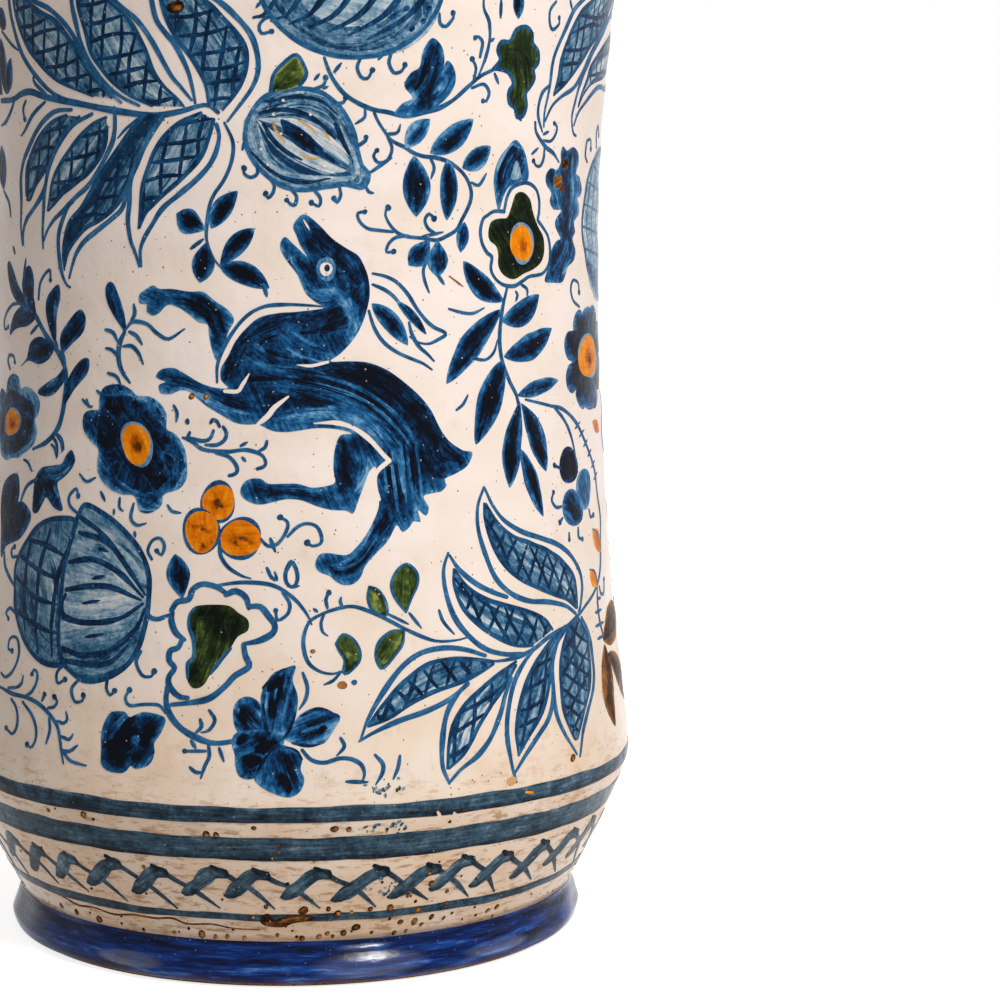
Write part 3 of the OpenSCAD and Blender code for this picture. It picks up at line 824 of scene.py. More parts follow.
def forked_twig():
    patch((-43.6, 149.6, -43, 151.4, -41.6, 151.4, -40, 148.6, -38.6, 144.6, -38.2, 141.2, -40.2, 143,
           -42.8, 146.6), load=0.72)
    stroke((-41.8, 149.4, -40.4, 145.6, -39.2, 143), 0.6, 0.4, 0.3, "dark", 0.3, True)
    stroke((-38.4, 141.4, -39.7, 138.5, -39.8, 135, -38.8, 132.5, -37, 130.5), 1.15)
    strokes(
        0.85, (-43.6, 141.5, -41.5, 140.9, -40.2, 139), (-43.2, 137.6, -41.5, 137.2, -40.1, 135.8),
        (-37.3, 141.2, -35.5, 140.4, -34, 138.6), (-38.7, 138.1, -36.5, 138.2, -34.8, 136.7, -33.7, 134.5),
        (-38.3, 141.6, -36.5, 143.3, -33, 142.9, -30.5, 141, -27.7, 139.9, -24.2, 142),
        (-37, 143.3, -36, 145, -36.2, 147), (-42.7, 132.3, -40.5, 131.7, -39.3, 130),
        (-45.6, 128.5, -44.5, 127.8, -43.8, 127), (-48.4, 126.5, -47.8, 125.2, -46.8, 125))


def lance_sprig():
    stroke((49.8, 150.6, 48.3, 146.5, 47.6, 142, 47.4, 138, 48, 134.5, 50, 130.5, 52, 127.5, 52.6, 125),
        1.0, 0.7, 0.8)
    leaf(48.5, 147.8, 37.5, 156.3, 5, 1.2, 0.5)
    leaf(47.8, 146, 33, 130.5, 5.5, -0.9, 0.5)
    leaf(48, 143.5, 60.3, 149, 5.5, -1.2, 0.5)
    leaf(48.5, 135.8, 65.2, 141.5, 5.5, -0.9, 0.5)
    leaf(48, 135, 40, 117.3, 6.5, 0, 0.45)
    leaf(52.5, 127.3, 67.5, 130, 3.3, 0.2)
    leaf(53, 126, 49, 107.5, 5.5, -0.6, 0.55)
    leaf(53.5, 125.5, 61.3, 110.3, 5.6, 0.9, 0.55)
    leaf(53, 115.5, 59.3, 100.5, 4.2, 0)
    stroke((34, 153.2, 37.5, 151), 0.4, colour="rust", load=0.5)
    strokes(
        0.7, (33.8, 146.3, 37, 145.5, 40, 145.3, 43, 146.4), (35.2, 124.8, 37, 126, 38.3, 127.9),
        (39.5, 135.8, 43, 135.3, 45.5, 136.8, 46.8, 139.5), (54.3, 151.3, 56.2, 150.3, 56.2, 148.5),
        (52.5, 149.8, 53, 149, 52.4, 147.8))


def four_leaf():
    patch((-38.5, 60.8, -35.5, 61, -34.5, 60, -31.5, 61.3, -28, 61, -26.5, 60, -27.5, 57, -28.7, 55,
           -28.5, 53, -29.5, 50.5, -32.5, 49.3, -33.5, 50, -35, 48.3, -38.3, 48.2, -40.3, 49.5, -40.5, 53,
           -40.8, 56, -40, 59), load=0.66)
    for _ in range(22):
        blob(hand.uniform(-39, -29), hand.uniform(50.5, 59.5), hand.uniform(0.8, 2.4),
            hand.uniform(0.6, 1.4), hand.uniform(20, 80), "dark", hand.choice((0.35, 0.5, 0.95, 1.1)), True)


def trefoil():
    heart = np.array((-5, 56))
    for rim, load in (
            ((-12.7, 62, -12, 64.5, -10, 65.6, -7.6, 64.4, -6.6, 61, -6.6, 57.6, -9.5, 56.6, -12, 58.5),
             0.4),
            ((-7.3, 64.5, -6.9, 67, -5, 70.3, -2.5, 71.5, -0.4, 72, -1, 69, 0, 65.5, -0.4, 61.4, -1.8, 57.4,
              -5, 57.4, -7, 60.5), 0.5),
            ((-3, 57.4, -1.2, 59.6, 0.4, 61.8, 3, 63.2, 6, 62.5, 8.3, 61.3, 7, 58.5, 5, 55.8, 2, 55.3,
              -1, 55.9), 0.36),
            ((-12.8, 55.5, -12.2, 53.5, -12, 51, -11, 48.8, -8.5, 48.6, -5.5, 51, -3, 54.8, -3, 57.8,
              -7, 58.6, -12, 58), 0.66),
            ((-4, 55.6, -1, 54.8, 0.8, 53, 0.5, 50.5, 1.2, 48.5, 0.5, 46, -1.5, 44.7, -4, 45.2, -7, 46.8,
              -8.4, 49, -6.6, 53), 0.5)):
        patch(rim, load=load)
        middle = pairs(rim).mean(0)
        inner, tip = middle * 0.4 + heart * 0.6, middle * 1.7 - heart * 0.7
        hairs(np.vstack((inner, middle, tip)), 3.0, 16, 0.1, 1.0)
    strokes(
        0.8, (-6.8, 64, -6.4, 60, -5.4, 57), (-0.6, 62, -2, 58, -3.6, 56.4),
        (-6.8, 67.4, -4, 70.4, -0.8, 71.8), (0.6, 61.6, 4, 63, 8, 61.3), (-1, 56, 2, 55.4, 5, 56),
        (-4, 55.4, -0.6, 54.4, 0.8, 52.6), (-8, 49.4, -6.4, 52.6, -4.4, 55), colour="dark", load=1.0)
    for x, z, wide, tall, turn in (
            (-6, 55.2, 2.4, 1.3, 20), (-8.8, 52.4, 2.0, 1.1, 0), (-10.8, 56.6, 1.5, 0.9, 40),
            (-2.4, 47.6, 1.1, 2.2, 20), (-4.6, 68.4, 1.0, 2.2, -35), (-10.8, 61.4, 0.9, 1.6, 0),
            (4.6, 58.6, 1.3, 0.7, 40), (-5, 63, 0.9, 2.2, 0)):
        blob(x, z, wide, tall, turn, "dark", 1.1, True)
    stroke((0.8, 54.5, 2.5, 52.5, 5, 51.8, 8, 52.6, 10.5, 52.3, 12.3, 51, 12.8, 49, 12.3, 47.5), 0.9)
    strokes(
        0.8, (9.3, 47.7, 13.4, 47.4), (8.3, 56.8, 9, 55, 7.5, 53.2), (15, 53, 16.5, 51, 16.3, 49, 15, 46.8),
        (20, 52.5, 19.5, 50, 18.5, 47.7), (1, 70.5, 1.9, 67.5, 1.5, 65, 0.3, 63),
        (-17.5, 62.5, -16.3, 60.5, -17.5, 58.3, -19, 57.8), (-19.3, 60.5, -19, 59, -20.3, 57.5),
        (-21, 56, -20, 54.5), (-17.5, 55.5, -17.2, 53, -18, 51, -18.8, 48.3),
        (-21, 50.5, -19.8, 49.5, -18.3, 49.6), (-15.3, 54.7, -14.3, 52))
    hook((-18, 54, -22.2, 53.8))


def curling_tendril():
    stroke((-74, 61.7, -68, 61, -63, 61, -59, 60.3, -55.5, 58.7, -52.5, 56.3, -51.3, 53.5, -50.7, 51,
            -50, 48.5), 0.95)
    strokes(
        0.8, (-50.7, 51.5, -48.5, 49.5, -46.5, 49, -44, 48.8), (-50.5, 51.3, -48.5, 51.3, -46.5, 52.8),
        (-70, 62, -66.5, 62.7, -64.8, 63.8, -64.3, 65.5), (-52.5, 57.3, -50.7, 57, -49.8, 58, -50.3, 59.5),
        (-51, 54.2, -48.8, 53.8, -47.9, 55), (-55, 57.5, -54.4, 55, -55.2, 52))
    hooks(
        (-63, 61.3, -61, 62.5, -59.5, 64.8, -59.6, 66.8, -60.8, 67.3, -61.3, 66.3),
        (-73.5, 64.8, -71.5, 64.2, -69, 65.5, -67.3, 68, -66.9, 70.5, -68, 73, -70, 73.3, -71.5, 72.3,
         -71.5, 70.5, -69.8, 70.2),
        (-68.5, 59.8, -66.5, 58.5, -65.3, 56.3, -65.3, 54, -66.8, 52.4, -69.3, 53.3),
        (-64, 59.8, -60.5, 57.5, -58.7, 55, -58.5, 52.5, -59.8, 50.5, -61.2, 51), (-57.5, 61, -56.8, 62.5),
        (-55.5, 59.7, -53.7, 60.2, -52.9, 61.5, -53.8, 62.3))


def dark_clusters():
    patch((-78.5, 90, -80, 96, -80.5, 103, -79, 107, -73, 109, -71.3, 105, -71.5, 103, -69, 103, -66, 101,
           -66.5, 98.5, -70, 95, -74, 93.5, -76.5, 92.5), load=0.75)
    stroke((-77, 91, -76, 88, -73, 85.5, -71.3, 84.3), 1.0)
    patch((-65, 108.4, -62.5, 111, -58, 111.9, -55.5, 112.4, -54, 114.5, -52.5, 115.5, -51.4, 113.5,
           -52.5, 111.4, -55, 109.4, -57, 108, -55.8, 105, -54.8, 102.4, -57.5, 102.7, -60.4, 104.8,
           -61.6, 103.4, -63.4, 101.2, -65.1, 101.4, -65.3, 104.6), load=0.8)
    hairs((-62, 110, -58, 110, -54.6, 111.4, -52.6, 113.6), 1.0, 10, 0.2, 0.6)
    hairs((-62, 108, -63.4, 104), 1.2, 5, 0.3, 0.6)
    hairs((-59, 107, -56.6, 104), 1.0, 5, 0.3, 0.6)
    stroke((-64, 108.6, -68, 106.8, -69.7, 104.5, -70.3, 103), 0.9)
    strokes(
        0.8, (-69.8, 112.3, -68, 111.8, -66.3, 110), (-57.5, 118.3, -56, 117, -55.5, 115),
        (-59.3, 116.3, -58, 115.5, -57.2, 113.5))
    leaf(-23.7, 85.6, -25.6, 94.8, 4.8, 0, 0.55)
    hook((-30.8, 93.5, -31.8, 95.3, -30.7, 97.5, -29, 98, -28, 96.5, -28.6, 94.5, -29.7, 95.3))


# The fruit
# Gourds, a striped bud and berries, washed in thin blue and ribbed with the point of the brush.

def almond_bud():
    outline = (-10.3, 185, -8.7, 187.7, -6, 190.3, -2, 191.3, 1.3, 191.7, 5, 191, 8, 189, 10.3, 186.3,
        12, 182.7, 12.8, 179.3, 13.7, 176.3, 15.3, 174.3, 14, 171.7, 10, 172.3, 6.7, 171.7, 0.7, 171,
        -4, 172.3, -7.7, 175.3, -9.7, 178, -10.7, 181.3)
    patch(outline, "wash", 0.6)
    for lift in np.linspace(-10.6, 11.4, 74):
        if -3.6 < lift < -1 or 1.6 < lift < 4.4:
            load = hand.uniform(0.0, 0.35)
        else:
            load = hand.choice((0.25, 0.6, 0.85)) + hand.uniform(0, 0.2) + (0.2 if lift < -4 else 0)
        first, second = 0.84 * lift, 0.98 * lift
        stroke((-8.4, 185.6, -2.6 + 0.47 * first, 182.6 + 0.88 * first, 3.2 + 0.47 * second,
                179.6 + 0.88 * second, 8.8 + 0.36 * lift, 176.6 + 0.62 * lift, 13.6, 174.2),
            hand.uniform(0.35, 0.65), 0.4, 0.5, "wash", load, True, HAIR_STEP)
    hairs((pairs(outline + outline[:2]) - (1.5, 181)) * 0.9 + (1.5, 181), 1.2, 46, 0.25, 1.0, "wash")
    patch((-3.3, 185.4, -1, 184.7, 2, 182.9, 4, 181, 5.6, 179.4, 4.6, 178.1, 2, 178.8, -0.6, 180.5,
           -2.6, 183), "dark", 0.85)
    stroke((4.8, 179, 8.9, 176.2), 1.0, colour="dark", load=0.8)
    strokes(
        0.6, (0.4, 185.2, 2.6, 184, 4.2, 182.4), (1, 178.3, 3, 177.4, 4.8, 177.5),
        (-5, 185, -4, 182.6, -2.4, 180.8), (5.6, 183, 7, 181.2), colour="rust", load=0.1)
    strokes(
        1.0, (-7.6, 186.6, -3.6, 187.4, 1, 186.8, 4.6, 184.8, 8, 181.6),
        (-6.8, 184.4, -5, 181.4, -2.2, 178.9, 1, 177.2), (8, 184.6, 11, 178.4), load=0.8)
    stroke(np.concatenate((outline, outline[:2])), 1.0, 1, 1, load=0.42)
    strokes(
        0.8, (-9.4, 178.6, -5, 174.6, 0.7, 172.5, 7, 173.4), (-6, 189, 0, 190, 5, 189.2, 8.6, 186.4),
        load=0.72)
    for x, z in (
            (-2.7, 189.3), (-4.7, 186.4), (2.9, 186.5), (-7.4, 179.3), (-6, 176.2), (-3.2, 182.5),
            (5.9, 176.1)):
        blob(x, z, 0.34, colour="bare", load=0)
    patch((-5.3, 191, -4.7, 194.3, -2.7, 196.7, 0, 198.5, 1.7, 196, 2, 194.3, 0.7, 192.3), "green", 0.25)
    stroke((-4.2, 192.4, -2.6, 194, -1.2, 195.6, 0, 197.4), 1.0, colour="green", load=0.85, within=True)
    stroke((-5.2, 191.2, -1, 192.6, 0.6, 192.8), 1.2, colour="green", load=0.75, within=True)
    stroke((-5.3, 191, -4.7, 194.3, -2.7, 196.7, 0, 198.5, 1.7, 196, 2, 194.3, 0.7, 192.3), 0.8, 1, 1)
    hooks(
        (-8.3, 176.3, -8.2, 174.3, -9.7, 173.5, -11, 174.3, -11, 175.4),
        (-6, 173.7, -4.7, 172, -5, 170.3, -6, 169.3, -6.5, 170.2),
        (-1.2, 171, 0, 169.7, -0.3, 168, -1.2, 168, -2.1, 168.9),
        (3.7, 171, 5, 169.3, 4.7, 167.7, 3.1, 168.4), (9, 171.7, 9.3, 170, 8.5, 168.5, 7.9, 169.3),
        (3.3, 191.5, 5.6, 192.5, 6, 194), (8, 188.7, 9.7, 189, 10.2, 190),
        (12.7, 180, 14.5, 181.3, 14.6, 182))
    strokes(
        0.75, (14.7, 171.7, 15.3, 170.7, 16.3, 170.5), (-11.3, 179.2, -10.8, 181), (5.6, 191.8, 6.5, 192.2),
        (3.8, 193.6, 4.7, 194.7))


def top_gourd():
    blob(11.5, 215.5, 19.6, 17.3, colour="wash", load=0.36)
    sweep = np.linspace(0, 2 * math.pi, 33)
    rim = np.stack((11.5 + 19.6 * np.cos(sweep), 215.5 + 17.3 * np.sin(sweep)), 1)
    hairs((rim - (11.5, 215.5)) * 0.86 + (11.5, 215.5), 3.0, 90, 0.5, 1.0, "wash")
    for bulge in (-17, -12.5, -8, -3, 2, 7, 12):
        stroke((16, 230.5, 17 + 0.75 * bulge, 222, 15 + bulge, 213, 11 + bulge, 207, 5 + 0.8 * bulge,
                203.6 - 0.14 * bulge), 1.4, 0.6, 0.4, load=0.72)
    hairs((24, 213, 25, 207, 21, 203), 3.4, 24, 0.5, 1.0, "wash")
    for x, z in ((20, 206.8), (22.6, 208.4), (26.4, 206), (24, 204.4), (27.6, 208.6)):
        blob(x, z, 0.8, 0.6, 30, "dark", 0.9)
    stroke(rim, 1.0, 1, 1, load=0.5)
    hooks(
        (13.3, 198.3, 12.5, 196.3, 13.3, 194.3, 14.7, 194, 15.7, 195.7),
        (19.7, 199.3, 19.2, 197.3, 20.3, 195.3, 22, 195.7, 22.7, 197),
        (30, 207.7, 30.3, 205.7, 31.7, 205.2, 33.3, 207, 33.2, 208),
        (-4.7, 206.2, -6.3, 205.8, -7.5, 204.3, -7, 202.8, -5, 203.2))
    strokes(0.75, (7.8, 195.2, 9.2, 197), (17, 198, 18, 199.2), (-7.2, 209, -8, 208))


def right_gourd():
    blob(101, 165, 19, 17, colour="wash", load=0.45)
    sweep = np.linspace(0, 2 * math.pi, 33)
    stroke(np.stack((101 + 19 * np.cos(sweep), 165 + 17 * np.sin(sweep)), 1), 1.1, 1, 1)
    patch((84, 157, 92, 155, 104, 154.5, 114, 157, 112, 152, 104, 148.6, 96, 148.8, 88, 152), "dark", 0.55)
    for bulge in (-14.5, -10, -5, 0, 5, 10, 14.5):
        stroke((101 + 0.55 * bulge, 180.5, 101 + bulge, 172, 101 + 1.1 * bulge, 164, 101 + 0.8 * bulge,
                154), 0.8)
    for lift in (13, 9, 4, -1, -6):
        reach = 18.4 * math.sqrt(1 - (lift / 17) ** 2)
        stroke((101 - reach, 165 + lift, 101 - reach / 2, 164 + lift, 101, 163.6 + lift, 101 + reach,
                165 + lift), 0.75)
    hooks((84, 178.5, 82, 180, 82.5, 183, 85.5, 183.5, 86, 181.5), (92, 182, 91.5, 185, 93.5, 187, 95.5, 185))
    hooks((79, 146, 75.5, 147.5, 74.5, 150, 76, 152, 79, 151.3, 79.3, 149.3))


def ribbed_gourd():
    cap = (-50.5, 100.5, -53, 100.8, -59, 100, -64, 97.5, -68.5, 93, -71, 88, -70.5, 82, -68.5, 77.5,
        -65, 73, -60, 69.8, -55, 69, -52, 70, -53.5, 73, -54, 82, -53, 92)
    body = (-50, 101.5, -48, 104, -43, 102.5, -38, 99.5, -33.5, 95, -31.3, 90, -31.2, 85, -31.7, 80,
        -33, 75, -36, 70.5, -41, 67.5, -46, 66.8, -50, 68.5, -52, 70, -53.5, 73, -54, 82, -53, 92)
    patch(cap, "wash", 0.68)
    patch(body, "wash", 0.56)
    for dab, load in (
            ((-52, 99, -44, 98.5, -36, 92, -32, 88), 0.68), ((-53, 91, -46, 92.5, -38, 91, -32.5, 87), 0.5),
            ((-53, 84, -45, 84.5, -33, 84.6), 0.42), ((-53, 76, -46, 76, -38, 77.5, -32.5, 82), 0.56),
            ((-52, 70, -46, 69, -39, 70.5, -33, 77), 0.76)):
        stroke(dab, 8.5, 0.8, 0.5, "wash", load, True)
    strokes(
        1.25, (-51.5, 97, -54.5, 90, -56, 84, -56, 77, -55.5, 71),
        (-58.5, 98, -61, 91, -61.8, 84, -61.5, 78, -60, 71), (-65.5, 94.5, -66.5, 88, -66.5, 82, -65, 75),
        (-66, 95, -60, 94.5, -53, 92.5), (-69.5, 91.5, -62, 89, -55, 87.5), (-70.5, 86.5, -63, 83, -55, 82),
        (-68, 79, -59, 76.5, -54, 76), load=0.76)
    strokes(
        1.35, (-49.5, 101.5, -43, 98, -36, 91, -32, 86), (-49.5, 98, -42, 96.5, -36, 91.5),
        (-52, 91.5, -45, 92.5, -38, 90, -32.5, 85.5), (-52.5, 85.5, -46, 86.8, -40, 87, -33, 84.8),
        (-52.6, 84.4, -53.5, 82.5, -52.5, 79.8, -46, 79, -38, 80.5, -32.5, 84),
        (-52.5, 73, -47, 72, -40, 73.5, -34, 78.5, -32, 83), (-51.5, 70.4, -46, 70.2, -40, 71, -35.5, 75),
        load=0.76)
    strokes(
        0.8, (-47.5, 83, -43, 84), (-45, 88.5, -42, 89.3), (-46, 76, -41.5, 77), (-44, 95, -41.5, 94.5),
        load=0.76)
    for edge in (cap, body):
        stroke(np.concatenate((edge, edge[:2])), 1.15, 1, 1, load=0.65)
    hooks(
        (-50, 102, -52.5, 103.5, -53, 105.5, -51, 107.3, -50.3, 105.8),
        (-70, 78.7, -72, 79.4, -73.7, 78.2, -72.4, 77), (-70.8, 91, -72.8, 90.6, -73.4, 92.2, -72.2, 92.9),
        (-51.5, 69.6, -53.5, 67.6, -53, 65.4, -51, 66.4),
        (-47, 67, -49, 64.6, -48, 62, -46, 62.4, -45.8, 63.6),
        (-40, 68, -40.1, 65.6, -39.1, 64.3, -38.1, 65.3),
        (-32.5, 74, -33.5, 71.6, -32, 69, -30, 68.9, -29.4, 70))
    hairs((-69, 88, -66, 80, -60, 73.4, -54, 71), 3.2, 14, 0.55, 1.0, "wash")
    hairs((-51, 71, -44, 69.4, -37, 72.4, -33, 80), 2.2, 16, 0.6, 1.0, "wash")
    hairs((-53, 94, -45, 96, -38, 93, -33, 88), 3.4, 14, 0.2, 0.9, "wash")
    hairs((-53, 82, -46, 82, -40, 83, -34, 84.5), 3.6, 14, 0.0, 0.5, "wash")
    hairs((-64, 94, -60, 90, -57, 84, -57, 76), 4.0, 20, 0.15, 1.0, "wash")
    strokes(1.0, (-31.5, 83, -31, 81.5, -29, 81, -26, 82.3))


def orange_berries():
    for x, z, wide, tall in ((-16.5, 106, 3.3, 3.8), (-20, 99.8, 3.7, 4.2), (-11.8, 98.5, 4.1, 3.9)):
        blob(x, z, wide + 0.55, tall + 0.5, load=0.56)
        blob(x + 0.15, z, wide, tall, colour="orange", load=0.42)
        for _ in range(9):
            blob(x + hand.uniform(-0.5, 0.7) * wide, z + hand.uniform(-0.8, 0.25) * tall,
                hand.uniform(0.3, 0.8), hand.uniform(0.3, 0.6), hand.uniform(0, 90), "orange",
                hand.uniform(0.85, 1.0), True)
    stroke((-16, 98, -15.8, 95, -14.2, 92.5, -11.5, 90.8, -9.5, 90.2), 0.8)
    strokes(0.8, (-5.5, 98.5, -4.5, 95.8), (-1.2, 93.5, -2.4, 91.5, -2.2, 89.3, -1, 88.4, 0.3, 88.7))
    hooks(
        (-7.5, 98.5, -6, 97, -4, 97.5, -2.3, 100, -2, 102, -3.5, 103),
        (-2, 99, 0, 101, 2, 101.7, 4, 101, 4.9, 99, 4.7, 97.5, 3, 97, 2, 97.7))


def blue_berries():
    blob(71, 110.8, 4.2, 4.3, colour="dark", load=0.95)
    blob(71.8, 101.2, 4.8, 4.2, colour="dark", load=0.62)
    blob(78.5, 105, 4.2, 4.8, colour="dark", load=0.4)
    stroke((65.5, 124, 69, 121.5, 72, 118.5, 74, 115, 74.8, 110.5), 0.85)
    hooks(
        (66.6, 102, 64.5, 102, 63, 103.6, 63.8, 105.4), (66.6, 99.4, 65.4, 98.6),
        (73.4, 96.6, 73.5, 94.5, 75.5, 93.8), (80.5, 100, 81, 98.3, 83.2, 98.5), (69, 95.8, 69, 94.4),
        (66.8, 110.5, 64.6, 111.3))
    hairs((69, 104, 73, 100), 3.6, 12, 0.15, 0.9)
    hairs((77, 108, 80, 102), 3.2, 12, 0.1, 0.6)


# The flowers
# Round petals of strong cobalt, or of copper green inside a drawn ring, each with a raised orange eye.

def eye(x, z, wide, tall, turn=0):
    blob(x + 0.25, z + 0.1, wide + 0.45, tall + 0.4, turn, "line", 0.15)
    blob(x, z, wide, tall, turn, "orange", 0.36)
    blob(x + 0.3, z - 0.2, wide * 0.46, tall * 0.5, turn, "orange", 0.72, True)
    blob(x + 0.6, z - 0.6, wide * 0.2, tall * 0.22, turn, "orange", 0.95, True)


def blossom(x, z, rim):
    """A flower of one full wash, darker in patches and bright where it ran thin at the edge of the petals."""
    patch(rim, load=0.72)
    edge = flowing(rim, closed=True)
    for i in range(0, len(edge), 3):
        out = (edge[i] - (x, z)) * hand.uniform(0.72, 0.93)
        side = hand.uniform(-0.14, 0.14)
        end = out * hand.uniform(0.6, 0.85) + side * np.array((-out[1], out[0]))
        stroke(np.concatenate((out + (x, z), end + (x, z))), hand.uniform(0.8, 2.0), 0.5, 0.4, "dark",
            hand.uniform(0.3, 1.1), True)
    hairs(np.vstack((edge[::6], edge[:1])) * 0.94 + np.array((x, z)) * 0.06, 0.6, 26, 0.2, 0.6)


def left_flower():
    blossom(-76.6, 120.3,
        (-81, 126.4, -80, 129.5, -77, 130.8, -74, 130, -72.6, 127.7, -70.5, 128.3, -66.5, 127.5, -64, 125,
         -64.7, 122.4, -66, 121.3, -65, 119, -65.5, 116.5, -68, 114.5, -70.4, 113.6, -72.5, 112.5,
         -76, 112.2, -79, 111.5, -82, 112.4, -83.6, 114.5, -86, 117, -86.4, 120, -85.6, 122.4, -86, 125,
         -84, 127.2))
    eye(-76.8, 120.1, 4.0, 2.8, 18)


def middle_flower():
    blossom(-35.2, 117.6,
        (-44.8, 126.8, -44, 129, -42, 129.9, -39, 130, -36.5, 128.9, -35, 127.8, -32, 127.7, -29.5, 126.3,
         -28, 124, -28, 121, -26, 120, -23.9, 117, -23.2, 113, -23.5, 110.5, -25, 108.5, -28.4, 107.2,
         -29, 104.8, -31.5, 103.2, -34, 103.6, -35.4, 106.6, -38.5, 106.8, -42, 108, -44.5, 110.5, -45, 113,
         -44.8, 116, -46.4, 117.2, -48.5, 119, -49.5, 121, -49, 123.5, -47, 124.3, -44.9, 124.6))
    eye(-35.2, 117.6, 4.4, 3.4, -62)
    strokes(
        0.85,
        (-24.3, 119.3, -22, 118.3, -20, 117, -17, 116.6, -14, 116.6, -11, 117, -8.5, 116.5, -7, 115.6,
         -6.5, 114.3, -7, 113.5, -8.2, 113.1), (-23.5, 119.3, -20, 118.7, -18.3, 119.3, -17.6, 120.9),
        (-19.3, 117.9, -17, 117.9, -15.3, 118.9, -14.8, 120.4, -15.5, 121.7),
        (-18.2, 122.5, -17.7, 123.2, -16.8, 122.8, -16.3, 121.8),
        (-17, 116.2, -14.5, 115.6, -13, 114.3, -12.4, 112.8, -13, 111.9, -14.1, 111.6),
        (-8, 116.8, -6.7, 117.5, -6.3, 118.8), (-23.2, 119.4, -22.8, 120.4), end=0.8)
    strokes(
        0.75, (-11.8, 117.8, -10.4, 118.6), (-11.4, 115.4, -10.7, 114.6),
        (-50, 110.5, -48, 109, -45.5, 110), (-44, 107, -42.8, 105.2), (-39, 106, -39, 104, -38, 103.3),
        (-35.5, 105, -36, 102, -34.5, 100.5, -32.3, 101), (-27.5, 105, -26.5, 103.8, -24.5, 103.5),
        (-40.3, 103.5, -40.3, 102.4), (-35, 99, -34.8, 98), (-26.4, 126, -25.6, 124.4, -25.8, 122.6),
        (-49.6, 126.5, -48, 125.2))
    blob(-23.3, 122.7, 0.5, 0.7)


def right_flower():
    petalled(86, 134,
        ((164, 15.8), (198, 15.4), (232, 13), (-98, 11.6), (-58, 12.5), (-18, 15), (22, 15), (62, 13),
         (100, 12), (132, 14)), 11.4)
    eye(85.5, 134.5, 7.6, 4.8, -4)


def ringed_flower():
    patch((47, 167.3, 45.5, 171.7, 45.5, 174.7, 46.7, 178, 48.7, 180.3, 51.3, 182.3, 53.7, 180.7,
           55.3, 178.3, 56.2, 175.3, 55.7, 173.7, 54, 173.7, 50, 172.3, 48.3, 170.3), load=0.55)
    hairs((47, 171, 47.6, 176, 51.4, 180.6, 54.6, 177), 1.2, 14, 0.2, 1.0)
    patch((50.5, 174, 52, 178, 53.6, 174.6), "wash", 0.5)
    patch((52, 170.7, 54.3, 171.2, 56.7, 169.7, 58, 167, 60, 164, 62, 161.7, 62.3, 158.7, 61.3, 156.3,
           58.7, 154.7, 55.3, 153.7, 52, 152.5, 49, 153.3, 47.2, 155.3, 47, 158, 46.3, 159.7, 44.7, 160.7,
           44.2, 162.3, 45, 164.7, 47.3, 165.5, 49.7, 165.7, 50.7, 167.7), "green", 0.9)
    eye(54.3, 160.2, 3.6, 4.0)
    stroke((48.7, 167, 45.7, 167, 43.7, 166, 42.7, 165.3, 42, 162.7, 42.5, 160, 44, 158, 45.2, 157.3,
            45, 154.7, 46.3, 152.7, 48.7, 151.3, 52, 151, 54.7, 152, 57, 153, 60, 153.3, 62.3, 153.8,
            64.3, 155.7, 64.7, 158.7, 64, 161.7, 62, 163.7, 60, 165.3, 60.3, 166.7, 60, 169.7, 58.7, 172,
            56, 173.2, 53.3, 173, 50.7, 172, 49.3, 170, 48.7, 167.3), 0.8, 1, 1)


# The thorny stem and the scrolls
# Long thin stems that tie the fruit and flowers together, with green and orange leaflets laid over them.

def thorny_stem():
    stroke((55, 126.3, 59, 125.5, 64, 124.5, 69, 123.5, 75, 120.5, 80, 116.5, 84, 112, 87, 107.5, 88.5, 102,
            89, 97, 88.3, 92, 86.5, 87.5, 83.5, 83.5, 79.5, 80.8, 75, 79, 71, 77.3), 0.9, 0.6, 0.8)
    for x, z in ((76.5, 119.4), (79, 117.4), (81.3, 115), (83.5, 112.6), (85.6, 109.9), (87.2, 107)):
        stroke((x - 1.3, z - 0.6, x + 1.4, z + 0.7), 0.6)
    stroke((83.5, 71, 82, 74.5, 82, 78, 82.5, 82), 0.85)
    strokes(
        0.75, (82.3, 79.3, 84.7, 79.3), (80, 76.5, 84.2, 76.7), (79.2, 73.5, 84.8, 73.7),
        (80, 70.5, 84, 70.7))
    hook((84, 82, 85, 80.3, 86.5, 79.8, 88, 80.3, 88.5, 83))
    leaf(87.5, 89.6, 82, 95, 4.4, -0.6, colour="orange", load=0.2)
    leaf(82.4, 82.3, 78, 86.2, 3.2, 0, colour="orange", load=0.2)
    leaf(95, 117, 87.5, 119.5, 2.6, 0, colour="orange", load=0.4)
    strokes(0.7, (87.8, 89.6, 86.4, 93.4, 82.2, 95.4), (82.6, 82.4, 81.2, 85.6, 78.2, 86.6))
    for stalk in (
            (84.5, 68.5, 85.4, 49.5, 8, -1.2), (83.5, 70, 105, 72, 9.5, 1.4), (86.5, 66, 105, 52, 7, 1)):
        leaf(*stalk, colour="rust", load=0.5)
        stroke(stalk[:4], 1.6, 0.5, 0.4, "rust", 1.0, True)


